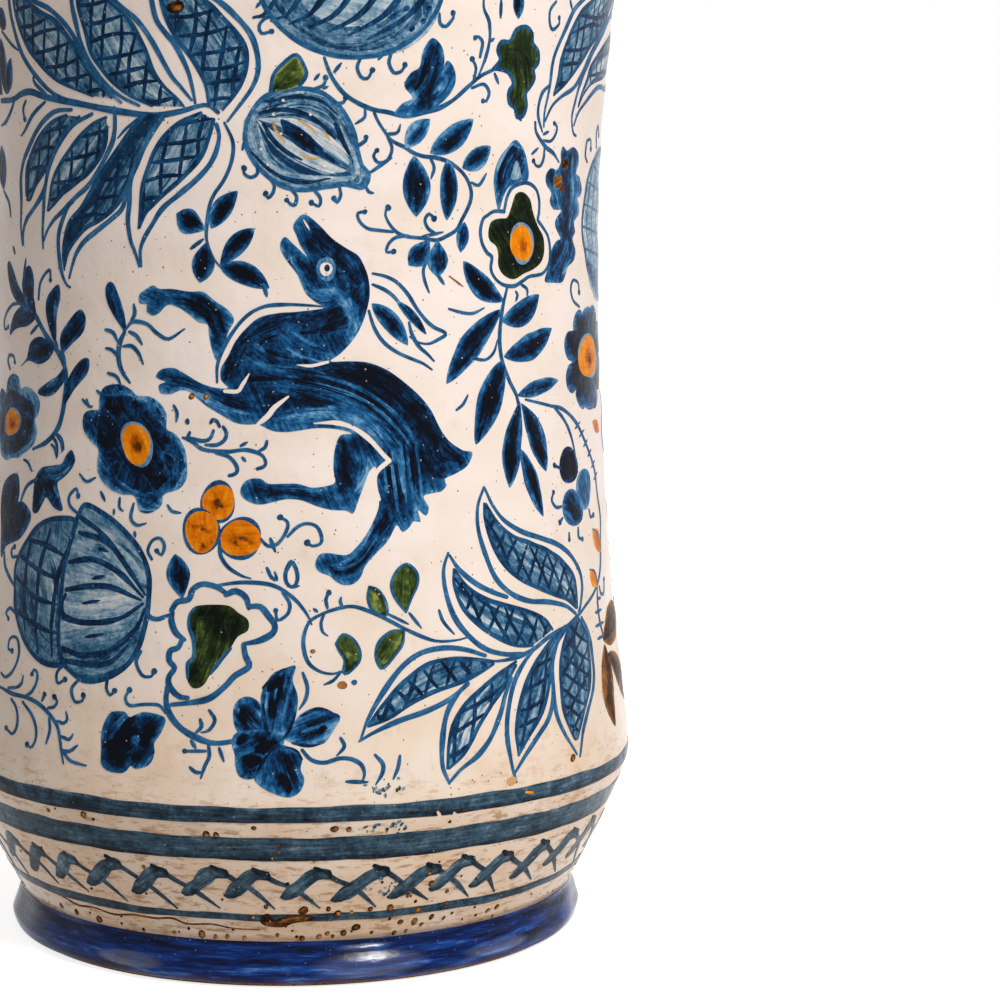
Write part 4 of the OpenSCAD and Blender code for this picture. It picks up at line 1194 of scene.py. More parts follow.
def scalloped_ring():
    strokes(
        1.3, (-26, 83, -24.8, 84.8, -22.3, 85.5, -21.5, 87.5, -19.5, 88.8, -16.5, 88.3, -14.5, 87),
        (-14.5, 86.7, -12.5, 87.5, -10.5, 86.3, -9.8, 84),
        (-9.8, 84.3, -7.5, 84.3, -5.8, 82.3, -4.6, 80.5, -5, 78.8, -7.5, 77.3, -10.8, 76.5),
        (-10.8, 76.3, -10.4, 74, -9.7, 71.8, -12.5, 69.8, -14.5, 67.5, -17.5, 65, -21, 64, -25.3, 63.3),
        (-25.8, 82.5, -26, 81, -25, 78.5, -23, 77),
        (-23.5, 77, -24.3, 75.3, -26, 74.5, -26.2, 72.5, -25, 71, -26, 69.3, -26.2, 67.8, -25, 66,
         -23.5, 65, -22, 64.9),
        (-26.3, 67, -26.5, 64, -25.5, 61, -23, 58.3, -19, 56.3, -16, 55.7, -12.5, 56.2), start=0.8, end=0.7)
    stroke((-16.5, 88.6, -12, 89.3, -8, 89.3, -5, 88.8, -2.5, 87.5, 0, 85.3, 2, 82.5, 2.8, 80.6), 0.85)
    hooks(
        (-3, 87.3, -1.6, 85, -2, 82.8, -4, 81.5, -4.4, 83.5),
        (-26.5, 61.5, -28, 63, -31, 63, -34.5, 62.5, -35.5, 64, -34.7, 65.7))
    patch((-21, 84, -18, 84.5, -14, 84.4, -12, 83, -10, 81.5, -10, 79.3, -12, 78, -13.5, 75.5, -15.5, 73,
           -17.5, 70, -19, 67.5, -21, 67, -22.3, 69, -22.3, 72, -21, 73.5, -21.2, 77, -22.3, 80, -22, 82.5),
        "green", 0.95)
    strokes(
        0.8, (-22.2, 69, -22.2, 72, -21, 73.5, -21.1, 77, -22.2, 80, -22, 82.5, -20.6, 84),
        (-13.4, 75.5, -15.4, 73, -17.4, 70))
    hairs((-17, 82, -17, 76, -20, 69), 3.4, 26, 0.5, 0.85, "green")
    strokes(
        0.8, (-2.4, 92.2, -1.3, 93.8, -0.3, 92.2, 0, 90.2, -0.6, 88.7, -1.9, 88.7, -2.5, 90.4),
        (-6.2, 92.4, -5.2, 90.4, -4.2, 90, -4.6, 91.6))


def green_scroll():
    stroke((2.8, 81.5, 5, 82.8, 8, 83.8, 11, 84.2, 14, 83.3, 18, 81.3, 22, 79, 26, 77, 29, 76, 33, 75.9,
            36, 76.3), 0.8)
    stroke((5, 82.8, 2.5, 81.3, 1.3, 78.5, 1.2, 75.5, 2.2, 72.5, 4.5, 70.7, 7, 70.2, 8.5, 70.7), 0.8)
    strokes(
        0.7, (23, 82.3, 25.5, 79), (18.5, 82.3, 22.7, 80), (29.6, 82.5, 30.5, 80, 32.8, 77.2),
        (5.5, 83, 4.7, 81, 5, 79, 6, 78.2), (3.3, 83.8, 4, 83.2), (9, 84.2, 8.6, 85.3, 8.8, 86.2),
        (8.5, 70.5, 7, 68.8, 5.2, 68))
    hook((6, 84, 5.7, 85.8, 6.3, 87.2))
    leaflets = (
        (22.3, 82.5, 20, 85.5, 19.2, 88.5, 20.5, 91.3, 22.7, 92.7, 24.8, 91, 25, 88.5, 23.5, 85.3),
        (14.6, 88.3, 14.2, 86, 15, 83.5, 17, 82, 18.3, 82.3, 18, 85, 16.5, 87.5),
        (21.8, 78.7, 19, 78.7, 16.3, 76.5, 15.6, 73.5, 16.7, 71, 18, 71.7, 20, 74, 21.4, 76),
        (7.6, 76.5, 9, 78.4, 11, 77.5, 12.4, 75, 12.2, 72.5, 10, 70.3, 9, 70.5, 9.3, 73, 8.3, 74.8))
    for rim in leaflets:
        patch(rim, "green", 0.62)
        middle = pairs(rim)
        stroke(middle[[0, len(middle) // 2]] * 0.7 + middle.mean(0) * 0.3, 1.7, 0.5, 0.4, "green", 0.15, True)
        stroke(rim[len(rim) // 4 * 2:] + rim[:2], 1.0, 0.8, 0.7, colour="green", load=0.95, within=True)
        stroke(rim + rim[:2], 0.55, 0.8, 0.7)
    blob(8.8, 67.8, 1.1, 0.8, colour="rust", load=0.5)
    blob(11.2, 68.3, 0.6)


# The leaping animal
# A long-eared beast in full stretch, filled with streaks of strong cobalt round reserved white lines.

def leaping_beast():
    stroke((16.2, 153.8, 19, 153.2, 21.5, 152, 24, 149.5, 26, 146.5, 28.5, 143.7, 30.5, 142.3, 32.5, 141.5,
            33, 140.8, 31.5, 140, 29, 139, 26.5, 139.3, 24.5, 140.5), 0.8)
    strokes(
        0.8, (16.2, 151.5, 19, 150.3, 21.3, 148.5, 23, 146),
        (15.3, 146, 16.5, 142.5, 18.5, 139.5, 21.5, 137.3, 25, 135.8, 27.5, 134.8, 29.5, 133.5),
        (24.3, 143.5, 25, 141, 26.5, 138.5, 28.5, 136.8, 30, 135.3))
    leaf(16, 147.5, 24, 138.8, 3.8, 0.5)
    leaf(21.5, 148, 28.3, 141, 1.9, 0.3)
    patch((1.5, 166, -0.7, 163.8, 0, 161.5, 0.8, 159.5, 2.2, 157.2, -0.5, 159.6, -2.5, 161.3, -3.5, 159.5,
           -2.5, 157, 0, 153.7, 0.8, 152, 2, 149.5, 4, 147.8, 5.6, 146.6, 0, 145.8, -4, 145.5, -8, 144.5,
           -11, 142, -13, 139.5, -14.5, 136.5, -16, 134, -16, 131.5, -14.5, 129.8, -18, 130, -21, 131,
           -23.5, 132.4, -26.5, 133.8, -29.5, 133.4, -30.6, 131.8, -28.4, 130.9, -29.9, 130.2, -29.4, 128.5,
           -27, 128.4, -25, 129.2, -23, 129, -21, 127.5, -19, 126, -16, 124.3, -13, 122.7, -10.5, 122.3,
           -8, 122.3, -5, 121, -2, 120.8, 1, 121.2, 4, 121.6, 8, 121.4, 11.5, 120.4, 9, 120, 7.8, 117,
           7.5, 113, 7.8, 110.3, 6, 109.5, 3, 109.2, 0, 110, -3, 110, -6, 110, -7.5, 111, -9.5, 111,
           -11, 110.2, -11.8, 108.5, -11.2, 107, -9, 105.8, -7, 105.7, -4.5, 106.3, -2, 106.8, 1, 106.5,
           4, 105.3, 7, 104.5, 10, 104.3, 11.5, 103.7, 12.5, 106, 13.8, 109.5, 15, 112.4, 16.4, 113.4,
           16.1, 111, 16.2, 109, 17, 106.5, 16.8, 104.4, 15.5, 101.5, 14, 99, 12, 96.5, 10, 95, 6, 95.5,
           4.3, 95, 3.6, 93, 4.5, 91.5, 6.5, 90.7, 7.8, 89.5, 9.5, 88.7, 11.5, 89, 13, 90.5, 13.8, 92.5,
           16, 95, 18.5, 97.5, 20, 100, 20.8, 101, 22, 99.5, 23.5, 100.5, 24.5, 101.7, 26, 101.5, 25.5, 104,
           27.3, 102.7, 28, 104.5, 26.8, 106.8, 29.5, 107.5, 31, 107.7, 32.3, 109, 31.8, 110.3, 35, 111.5,
           37.7, 113, 39, 115.6, 36.5, 116.2, 33, 118.5, 30.8, 121.5, 29, 125, 26.5, 128, 23, 131,
           19, 133.7, 15, 135.2, 11, 135.5, 7, 135.5, 9, 137, 11.5, 139.5, 13.5, 142.5, 14.8, 146,
           15.5, 149.5, 15.3, 152.5, 14.5, 155, 13, 157.5, 10.5, 159, 7.5, 161, 4.5, 164), load=0.58)
    patch((-16.8, 135.5, -18, 138, -18.7, 141, -19, 143, -21, 143.5, -23, 145, -25.5, 146.5, -28, 147,
           -30, 145.3, -31.5, 144.7, -33, 145.5, -33, 147, -34.7, 147.3, -34.8, 149, -33.5, 150, -31.5, 151,
           -30, 150.3, -27, 150.3, -23, 149.8, -20, 149.8, -17.5, 148, -14.5, 146, -13.3, 144, -14.5, 141.5,
           -15.5, 138.5), load=0.5)
    for guide, spread, count, low, high in (
            ((-14, 131, -12.6, 137, -8, 142, 0, 144, 7, 144.6, 12, 147, 13, 152, 10, 157, 4, 162.6), 3.0,
             34, 0.5, 1.0),
            ((4, 134.2, 14, 133.4, 22, 129.4, 28, 122.6, 33, 117, 37, 114.4), 2.0, 34, 0.75, 1.0),
            ((-10, 131, -3, 131.4, 6, 130, 14, 127, 21, 121, 25, 114), 3.4, 44, 0.2, 0.9),
            ((-6, 123.6, 2, 124.4, 9, 124.4, 15, 121, 19, 116, 19.4, 107), 1.5, 26, 0.1, 0.45),
            ((22, 119, 22.6, 112, 23.6, 104), 4.0, 30, 0.2, 0.95),
            ((28, 119, 30, 114, 33, 113), 3.0, 14, 0.6, 1.0),
            ((2, 151.4, 5, 149.6, 9, 149.4, 12, 145, 11, 140), 1.3, 14, 0.1, 0.4),
            ((-1, 160, 0, 156, 3, 151), 1.4, 8, 0.4, 0.9),
            ((-11, 140, -6, 136, 0, 134.6), 2.6, 16, 0.2, 0.8),
            ((-4, 142, 1, 138.4, 7, 136.8), 2.0, 14, 0.15, 0.6),
            ((-33, 148.6, -26, 148.6, -19.4, 146.6, -16, 141), 1.6, 18, 0.6, 1.0),
            ((-29, 131.4, -22, 130, -14, 126, -8, 125), 1.6, 22, 0.2, 0.9),
            ((9, 119, 9.4, 112, 12, 107), 1.6, 14, 0.6, 1.0),
            ((13, 118, 14.4, 113, 12, 108), 1.2, 10, 0.15, 0.5),
            ((6, 107, 0, 108.2, -9, 108.4), 1.4, 16, 0.5, 1.0),
            ((20, 104, 17, 99.6, 13.6, 94, 9, 91.6, 5, 93), 1.7, 22, 0.25, 1.0)):
        hairs(guide, spread, count, low, high)
    stroke((6, 135, 15, 134.4, 23, 130.4, 29, 124, 33, 118), 1.4, 0.8, 0.6, "dark", 0.95, True)
    stroke((15.2, 147, 15.2, 152, 13.6, 156.6, 8, 160, 3, 164.6), 1.8, 0.8, 0.6, "dark", 0.95, True)
    stroke((-15.4, 131.6, -13.6, 138, -9, 143.4, -3, 145.2, 4, 146), 1.3, 0.8, 0.6, "dark", 0.9, True)
    stroke((19.3, 114.7, 18, 116, 15, 119.3, 11.5, 121.7, 8, 122.7, 3.5, 122.6), 1.1, 0.8, 0.3, "bare", 0)
    stroke((19.4, 114.6, 17.3, 113, 16.2, 111.5, 16.2, 109, 17, 106.5), 1.1, 0.9, 0.8, "bare", 0)
    stroke((-8.6, 122, -6, 124.2, -4.8, 125.8, -1.8, 128.2), 1.1, 0.5, 0.4, "bare", 0)
    stroke((-15.2, 129.2, -12.5, 129.2, -11.5, 130.5, -10, 132.9), 0.9, 0.9, 0.3, "bare", 0)
    stroke((6.5, 135.4, 3, 134.6, 0, 134.8), 0.7, 0.9, 0.3, "bare", 0)
    stroke((-16.9, 131, -16.7, 135, -14.5, 140, -11, 144.5, -7, 146.8, -2, 147.3, 3, 147.1, 5.5, 146.9), 0.8)
    blob(6.2, 154.7, 2.2, 2.4, load=0.3)
    blob(6.2, 154.7, 1.35, 1.55, colour="bare", load=0)
    blob(6.4, 154.9, 0.62, 0.72, colour="dark", load=1.0)
    stroke((1.5, 164.8, 2.7, 162.8), 0.5, colour="bare", load=0)


FRONT = (left_spray, right_top_leaves, low_spray, small_sprig, winding_stem, lobed_bunch, left_sprig,
         forked_twig, lance_sprig, four_leaf, trefoil, curling_tendril, dark_clusters, almond_bud, top_gourd,
         right_gourd, ribbed_gourd, orange_berries, blue_berries, left_flower, middle_flower, right_flower,
         ringed_flower, thorny_stem, scalloped_ring, green_scroll, leaping_beast)
BACK = 258
for motif in FRONT:
    paint_at(motif)
for motif in FRONT:
    if motif is not right_gourd:
        paint_at(motif, to=(BACK, 0), flip=-1)

# The sides and the row under the shoulder are filled with the smaller motifs, each moved by its middle.
middle_of = {middle_flower: (-36, 118), left_flower: (-76, 120), small_sprig: (-16, 162),
             left_sprig: (-65, 137), four_leaf: (-34, 55), blue_berries: (74, 106), almond_bud: (1, 181),
             forked_twig: (-37, 138), orange_berries: (-16, 102)}
SIDES = ((middle_flower, 159, 166, 30, 1), (small_sprig, 146, 150, 20, 1), (left_flower, 130, 78, 20, 1),
         (left_sprig, 129, 136, 0, 1), (four_leaf, 131, 52, 0, 1), (blue_berries, 131, 104, 10, -1),
         (small_sprig, 129, 176, 30, 1), (left_flower, 130, 204, 0, -1), (small_sprig, 353, 150, 60, -1),
         (almond_bud, 129, 233, -35, 1), (forked_twig, 113, 86, 0, 1), (orange_berries, 110, 118, 0, 1),
         (small_sprig, 147, 97, 40, -1), (four_leaf, 147, 122, 20, 1), (forked_twig, 147, 68, -20, -1),
         (small_sprig, 355, 124, 0, 1), (four_leaf, 355, 214, 10, 1), (forked_twig, 355, 236, 20, 1),
         (four_leaf, 354, 60, 40, 1), (blue_berries, 353, 92, 0, 1), (small_sprig, 354, 190, 80, 1))
UNDER_SHOULDER = ((left_flower, -58, 236, 0), (small_sprig, -35, 235, 70), (four_leaf, -14, 236, 0),
                  (forked_twig, 44, 236, 80), (left_flower, 64, 236, 30), (small_sprig, 92, 235, 100))
for motif, x, z, turn, flip in SIDES:
    paint_at(motif, middle_of[motif], (x, z), turn, flip)
for side, flip in ((0, 1), (BACK, -1)):
    for motif, x, z, turn in UNDER_SHOULDER:
        paint_at(motif, middle_of[motif], (side + flip * x, z), turn, flip)


# The pits
# Bubbles that burst in the firing left small craters, most of them low on the heel. Dirt has browned their
# rims and the clay shows buff in the middle. Chips and flecks of stray colour lie among them.

PITS = (
    (0.8, 10.5, 0.7), (4.8, 11.1, 0.7), (6.7, 11.9, 0.6), (8, 11.1, 0.5), (10.5, 11.8, 0.8),
    (13.3, 13.1, 1.0), (8.7, 16.9, 0.9), (1.1, 18, 1.1), (6.6, 18.2, 0.6), (11.8, 17.1, 0.5),
    (16, 17.6, 0.6), (20.6, 17.5, 0.9), (24.3, 20.3, 0.6), (29.3, 22.6, 0.7), (28.1, 25.3, 0.6),
    (33.9, 20, 0.5), (34.5, 16.9, 0.6), (27.5, 16.3, 0.9), (23.9, 13.5, 0.7), (27.5, 13.2, 0.9),
    (29.6, 12.2, 0.5), (31.7, 13.8, 0.7), (35.3, 13, 0.5), (25.9, 10.9, 0.5), (22.9, 10.2, 0.6),
    (-18, 36.2, 0.8), (-16, 36.1, 0.7), (-8.5, 38, 0.5), (7, 37.6, 0.8), (9.8, 37.4, 0.6), (-4, 34, 0.4),
    (-3.9, 32.5, 0.5), (-5.3, 31, 0.5), (-33, 27.2, 0.5), (-7, 19, 0.6), (-10.2, 16.3, 0.6), (-52, 11, 1.0),
    (-38.5, 10.5, 0.5), (-30, 11, 0.5), (-23, 10.4, 1.0), (-19.7, 10.5, 0.6), (-16.8, 11, 0.6),
    (-12.7, 10.6, 0.6), (-4.9, 11.7, 0.5), (48.6, 12.6, 0.6), (51.4, 13, 0.7), (51.2, 10.6, 0.4),
    (-60, 11.6, 0.8), (-44.8, 38, 0.8), (-54.8, 37.4, 0.5), (-66, 12, 0.7), (-22.4, 128, 0.7),
    (-19.2, 128, 0.7), (63.5, 46.4, 0.9), (3, 75, 0.5), (16.4, 86.6, 0.4))
PIT_LOWEST = 10.2
for x, z, wide in PITS:
    z = max(z, PIT_LOWEST + wide)
    blob(x, z, wide * 1.05, wide * 0.9, hand.uniform(0, 90), "rust", hand.uniform(0.8, 1.2))
    blob(x + 0.1, z - 0.05, wide * 0.66, wide * 0.6, 0, "rust", hand.uniform(-0.1, 0.3), True)
for _ in range(110):
    x = hand.uniform(SHEET_LEFT + 2, SHEET_LEFT + FULL_TURN - 2)
    z = 11.2 + 28 * hand.random() ** 2.2
    wide = hand.uniform(0.2, 0.42) if -75 < x < 80 else hand.uniform(0.3, 0.8)
    blob(x, z, wide * 1.1, wide, hand.uniform(0, 90), "rust", hand.uniform(0.7, 1.2))
blob(-24.8, 208.2, 2.1, 1.2, 10, "rust", 1.1)
blob(-24.4, 208, 1.1, 0.6, 10, "rust", 0.3, True)
blob(44.8, 44.4, 1.3, 1.0, colour="rust", load=0.05)
strokes(0.7, (48.4, 41.4, 50.4, 41), colour="orange", load=0.3)
for x, z in ((27.6, 39.9), (31.2, 39.3)):
    stroke((x, z, x + 0.5, z - 0.9, x + 0.2, z - 1.8), 0.8, colour="bare", load=0)
for x, z, reach in ((20.4, 22.6, 2.6), (17.6, 37.5, 2.0), (17, 45.4, 1.6)):
    for _ in range(22):
        blob(hand.gauss(x, reach), hand.gauss(z, 0.5 * reach), hand.uniform(0.15, 0.6),
            hand.uniform(0.15, 0.4), hand.uniform(0, 90), "band", hand.uniform(0.0, 0.6))


# Sinking the colours in
# In the firing each colour melts into the glaze and stands a hair proud of it. Every colour is one piece:
# thin tiles with crisp edges, bedded in the white, and cut where another colour covers them.

PROUD = 0.00005
BEDDED = -0.00022
BAND_POINTS = 700
CLOSE_BED, WIDE_BED = 1.3, 2.4
GRAIN_APART = 7.31


def winding(points, outline):
    """How often an outline goes round each point."""
    ranked = np.argsort(points[:, 1])
    x, z = points[ranked].T
    turns = np.zeros(len(points), int)
    after = np.roll(outline, -1, axis=0)
    firsts = np.searchsorted(z, np.minimum(outline[:, 1], after[:, 1]))
    lasts = np.searchsorted(z, np.maximum(outline[:, 1], after[:, 1]))
    spans = zip(outline.tolist(), after.tolist(), firsts.tolist(), lasts.tolist())
    for (ax, az), (bx, bz), first, last in spans:
        if first < last:
            left = (bx - ax) * (z[first:last] - az) - (x[first:last] - ax) * (bz - az)
            turns[first:last] += left > 0 if bz > az else -1 * (left < 0)
    counted = np.empty(len(points), int)
    counted[ranked] = turns
    return counted


def edge_distance(points, outline):
    """Distance from each point to the nearest stretch of an outline."""
    a, b = outline, np.roll(outline, -1, axis=0)
    along = b - a
    size = np.maximum((along ** 2).sum(1), 1e-12)
    t = np.clip(((points[:, None] - a) * along).sum(2) / size, 0, 1)
    return np.sqrt((((a + along * t[..., None]) - points[:, None]) ** 2).sum(2)).min(1)


def bed_points(outline, spacing):
    """Points spread over the inside of an outline, clear of its edge."""
    low, high = outline.min(0), outline.max(0)
    columns, rows = np.arange(low[0], high[0], spacing), np.arange(low[1], high[1], spacing * 0.87)
    grid = np.stack(np.meshgrid(columns, rows), -1)
    grid[1::2, :, 0] += spacing / 2
    grid = grid.reshape(-1, 2)
    if not len(grid):
        return grid
    grid = grid[winding(grid, outline) != 0]
    return grid[edge_distance(grid, outline) > spacing * 0.45] if len(grid) else grid


corners, edges, count = [], [], 0
for outline, colour, load, within in painted:
    inside = np.zeros((0, 2))
    if len(outline) > BAND_POINTS:
        rows = np.arange(outline[:, 1].min() + 0.8, outline[:, 1].max() - 0.6, 0.7)
        columns, rows = np.meshgrid(outline[:len(outline) // 2:2, 0][1:-1], rows)
        inside = np.stack((columns.ravel(), rows.ravel()), 1)
    elif colour not in ("bare", "line") and not within and np.ptp(outline, axis=0).min() > 1.5:
        inside = bed_points(outline, CLOSE_BED if colour == "dark" else WIDE_BED)
    ring = np.arange(len(outline)) + count
    edges.append(np.stack((ring, np.roll(ring, -1)), 1))
    corners += [outline, inside]
    count += len(outline) + len(inside)
corners = [Vector(p) for p in np.concatenate(corners)]
cut = delaunay_2d_cdt(corners, np.concatenate(edges).tolist(), [], 0, 1e-5)
sheet_points = np.array([tuple(p) for p in cut[0]])
tiles = np.array(cut[2])
middles = sheet_points[tiles].mean(1)
order = np.argsort(middles[:, 0])
across_sheet = middles[order, 0]
tile_colour = np.full(len(tiles), -1)
tile_load = np.zeros(len(tiles))
tile_shape = np.zeros(len(tiles), int)
pool = np.zeros(len(sheet_points))
colours = ("wash", "line", "dark", "band", "green", "orange", "rust")
for shape, (outline, colour, load, within) in enumerate(painted):
    low, high = outline.min(0), outline.max(0)
    first, last = np.searchsorted(across_sheet, (low[0], high[0]))
    near = order[first:last]
    near = near[(middles[near, 1] > low[1]) & (middles[near, 1] < high[1])]
    hit = near[winding(middles[near], outline) != 0]
    if within:
        hit = hit[tile_colour[hit] == colours.index(colour)]
    tile_colour[hit] = -1 if colour == "bare" else colours.index(colour)
    tile_load[hit] = load
    tile_shape[hit] = shape
    if colour in ("dark", "green", "orange", "rust") and not within:
        touched = np.unique(tiles[hit])
        pool[touched] = edge_distance(sheet_points[touched], outline)


def brush_way(outline):
    """The middle of a shape and the direction in which the brush went over it: along its length."""
    middle = outline.mean(0)
    spread = (outline - middle).T @ (outline - middle)
    angle = 0.5 * math.atan2(2 * spread[0, 1], spread[0, 0] - spread[1, 1])
    return (*middle, angle)


shape_way = np.array([brush_way(outline) for outline, colour, load, within in painted])


def sunk_colour(name, kind, material):
    """Makes one closed piece of all the tiles of a colour."""
    mine = np.flatnonzero(tile_colour == colours.index(kind))
    used, local = np.unique(tiles[mine], return_inverse=True)
    top = local.reshape(-1, 3)
    points = sheet_points[used]
    angle, z = points[:, 0] / (SHEET_R * 1000), points[:, 1] / 1000
    upper, normal = wall_face(angle, z, np.full(len(used), PROUD))
    lower, _ = wall_face(angle, z, np.full(len(used), BEDDED))
    size = len(used)
    sides = np.concatenate((top[:, (0, 1)], top[:, (1, 2)], top[:, (2, 0)]))
    rim = sides[~np.isin(sides[:, 0] * size + sides[:, 1], sides[:, 1] * size + sides[:, 0])]
    walls = np.stack((rim[:, 0], rim[:, 0] + size, rim[:, 1] + size, rim[:, 1]), 1)
    faces = top.tolist() + (top[:, ::-1] + size).tolist() + walls.tolist()
    mesh = bpy.data.meshes.new(name)
    mesh.from_pydata(np.concatenate((upper, lower)).tolist(), [], faces)
    loads = np.bincount(local.ravel(), np.repeat(tile_load[mine], 3)) / np.bincount(local.ravel())
    loads = np.concatenate((loads, loads))
    mesh.attributes.new("load", "FLOAT", "POINT").data.foreach_set("value", loads.astype(np.float32))
    way = shape_way[tile_shape[mine]][:, None]
    away = points[top] - way[..., :2]
    turn_x, turn_z = np.cos(way[..., 2]), np.sin(way[..., 2])
    along = away[..., 0] * turn_x + away[..., 1] * turn_z
    aside = away[..., 1] * turn_x - away[..., 0] * turn_z
    own = np.repeat(tile_shape[mine][:, None] * GRAIN_APART, 3, 1)
    grain = np.stack((along, aside, own), -1).reshape(-1, 3)
    grain = np.concatenate((grain, grain, np.zeros((4 * len(walls), 3)))).astype(np.float32)
    mesh.attributes.new("grain", "FLOAT_VECTOR", "CORNER").data.foreach_set("vector", grain.ravel())
    pooled = np.concatenate((pool[used], pool[used]))
    mesh.attributes.new("pool", "FLOAT", "POINT").data.foreach_set("value", pooled.astype(np.float32))
    corner_points = np.empty(len(mesh.loops), np.int32)
    mesh.loops.foreach_get("vertex_index", corner_points)
    flat = points[corner_points % size]
    unwrapped = (flat - points.min(0)) / np.ptp(points, axis=0)
    mesh.uv_layers.new(name="OFBake").data.foreach_set("uv", unwrapped.astype(np.float32).ravel())
    mesh.polygons.foreach_set("use_smooth", [True] * len(mesh.polygons))
    corner_normals = normal[corner_points % size].copy()
    corner_normals[3 * len(top):6 * len(top)] *= -1
    outward = np.cross(upper[rim[:, 1]] - upper[rim[:, 0]], normal[rim[:, 0]])
    outward /= np.maximum(np.linalg.norm(outward, axis=1), 1e-12)[:, None]
    corner_normals[6 * len(top):] = np.repeat(outward, 4, 0)
    mesh.normals_split_custom_set(corner_normals.tolist())
    mesh.materials.append(material)
    piece = bpy.data.objects.new(name, mesh)
    bpy.context.scene.collection.objects.link(piece)
    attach(piece, "root")


# A painted colour's own unevenness: how thick it lies, from the brush's load, the pooling towards the
# middle of a shape and the streaks of the brush.
brushwork, brush_in, brush_out = new_group(
    "brushwork", [("Place", "Vector", (0, 0, 0)), ("Pooling", "Float", 0.0), ("Streaks", "Float", 0.3)],
    [("Thickness", "Float"), ("Clouds", "Float")])
brush_load = add_node(brushwork, "Attribute", attribute_name="load").outputs["Fac"]
brush_pool = add_node(brushwork, "Attribute", attribute_name="pool").outputs["Fac"]
brush_pool = clamped(brushwork, brush_pool, 0.0, 1.7, -1.0, 0.35)
brush_grain = add_node(brushwork, "Attribute", attribute_name="grain").outputs["Vector"]
hair_place = add_node(brushwork, "Mapping", {"Vector": brush_grain, "Scale": (0.16, 1.5, 1.0)}).outputs[0]
cloud = noise(brushwork, brush_in["Place"], 240.0, 4.0, 0.6)
fine_cloud = noise(brushwork, brush_in["Place"], 1100.0, 3.0, 0.6)
streak = noise(brushwork, hair_place, 1.0, 3.0, 0.6)
uneven = combined(brushwork, "ADD", cloud, streak)
uneven = combined(brushwork, "ADD", uneven, combined(brushwork, "MULTIPLY", fine_cloud, 0.6))
uneven = combined(brushwork, "SUBTRACT", uneven, 1.3)
uneven = combined(brushwork, "MULTIPLY", uneven, brush_in["Streaks"])
pooling = combined(brushwork, "MULTIPLY", brush_pool, brush_in["Pooling"])
thickness = combined(brushwork, "ADD", brush_load, uneven)
thickness = combined(brushwork, "ADD", thickness, pooling)
brushwork.links.new(thickness, brush_out["Thickness"])
brushwork.links.new(cloud, brush_out["Clouds"])


def paint_material(name, stops, pooling, streaks, gloss=0.03):
    """A fired colour that runs through the stops from thin to thick."""
    material, tree, shader, where = new_material(name, Specular_IOR_Level=gloss)
    laid = placed_group(tree, brushwork, {"Place": where, "Pooling": pooling, "Streaks": streaks})
    colour = ramp(tree, laid["Thickness"], stops)
    dirt = placed_group(tree, grit, {"Place": where, "Speck size": 460.0, "Amount": 0.13})
    colour = mixed(tree, combined(tree, "MULTIPLY", dirt["Specks"], 0.7), colour, shade(206, 196, 184))
    tree.links.new(colour, shader.inputs["Base Color"])
    tree.links.new(clamped(tree, laid["Clouds"], 0.3, 0.7, 0.14, 0.28), shader.inputs["Roughness"])
    raise_surface(tree, shader, glaze_skin(tree, where), SKIN_DEPTH)
    return material


thin_blue = paint_material(
    "thin_blue_wash", [(0.0, (214, 210, 206)), (0.3, (160, 178, 190)), (0.6, (90, 128, 154)),
                       (0.8, (46, 90, 122)), (1.0, (20, 50, 80))], 0.0, 1.0)
line_blue = paint_material(
    "blue_line", [(0.0, (124, 162, 190)), (0.35, (48, 104, 146)), (0.6, (26, 74, 114)), (0.8, (14, 42, 72)),
                  (1.0, (10, 20, 36))], 0.0, 0.7)
deep_blue = paint_material(
    "deep_cobalt", [(0.0, (120, 160, 190)), (0.22, (56, 116, 160)), (0.45, (24, 78, 124)),
                    (0.68, (13, 44, 78)), (0.85, (13, 24, 42)), (1.0, (12, 15, 24))], 0.28, 1.1)
band_blue = paint_material(
    "band_blue", [(0.0, (138, 154, 162)), (0.35, (70, 97, 115)), (0.65, (43, 60, 74)), (1.0, (19, 23, 29))],
    0.0, 1.0)
leaf_green = paint_material(
    "copper_green", [(0.0, (146, 154, 78)), (0.35, (72, 90, 40)), (0.65, (36, 50, 26)), (1.0, (12, 18, 12))],
    0.2, 0.9)
hot_orange = paint_material(
    "antimony_orange", [(0.0, (246, 186, 80)), (0.3, (234, 140, 22)), (0.6, (208, 106, 8)),
                        (0.85, (140, 72, 10)), (1.0, (84, 46, 14))], 0.0, 0.7, 0.015)
iron_brown = paint_material(
    "iron_brown", [(0.0, (204, 158, 106)), (0.4, (150, 96, 46)), (0.7, (84, 50, 26)), (1.0, (30, 20, 14))],
    0.1, 1.0, 0.005)
sunk_colour("blue_wash", "wash", thin_blue)
sunk_colour("blue_lines", "line", line_blue)
sunk_colour("deep_blue", "dark", deep_blue)
sunk_colour("blue_bands", "band", band_blue)
sunk_colour("green_leaves", "green", leaf_green)
sunk_colour("orange_fruit", "orange", hot_orange)
sunk_colour("brown_marks", "rust", iron_brown)


# The cobalt foot and rim
# The flared foot and the rolled lip were brushed all over with strong cobalt, thick enough to run and pool,
# and worn thin along their edges.

foot_heights, foot_radii = outer_line(clay_and_glaze["foot_glaze"])
foot_low, foot_high = foot_heights[0], foot_heights[-1]


def swells(count, size, times_round, rise):
    """Waves over the foot: how far each stands out, how often it goes round, how it climbs, and its start."""
    return [(hand.uniform(*size), hand.randint(*times_round), hand.uniform(*rise), hand.uniform(0, 6.3))
            for _ in range(count)]


lumps = swells(18, (0.00003, 0.0001), (3, 19), (-420, 420))
ridges = swells(7, (0.000008, 0.00003), (1, 5), (1200, 2600))
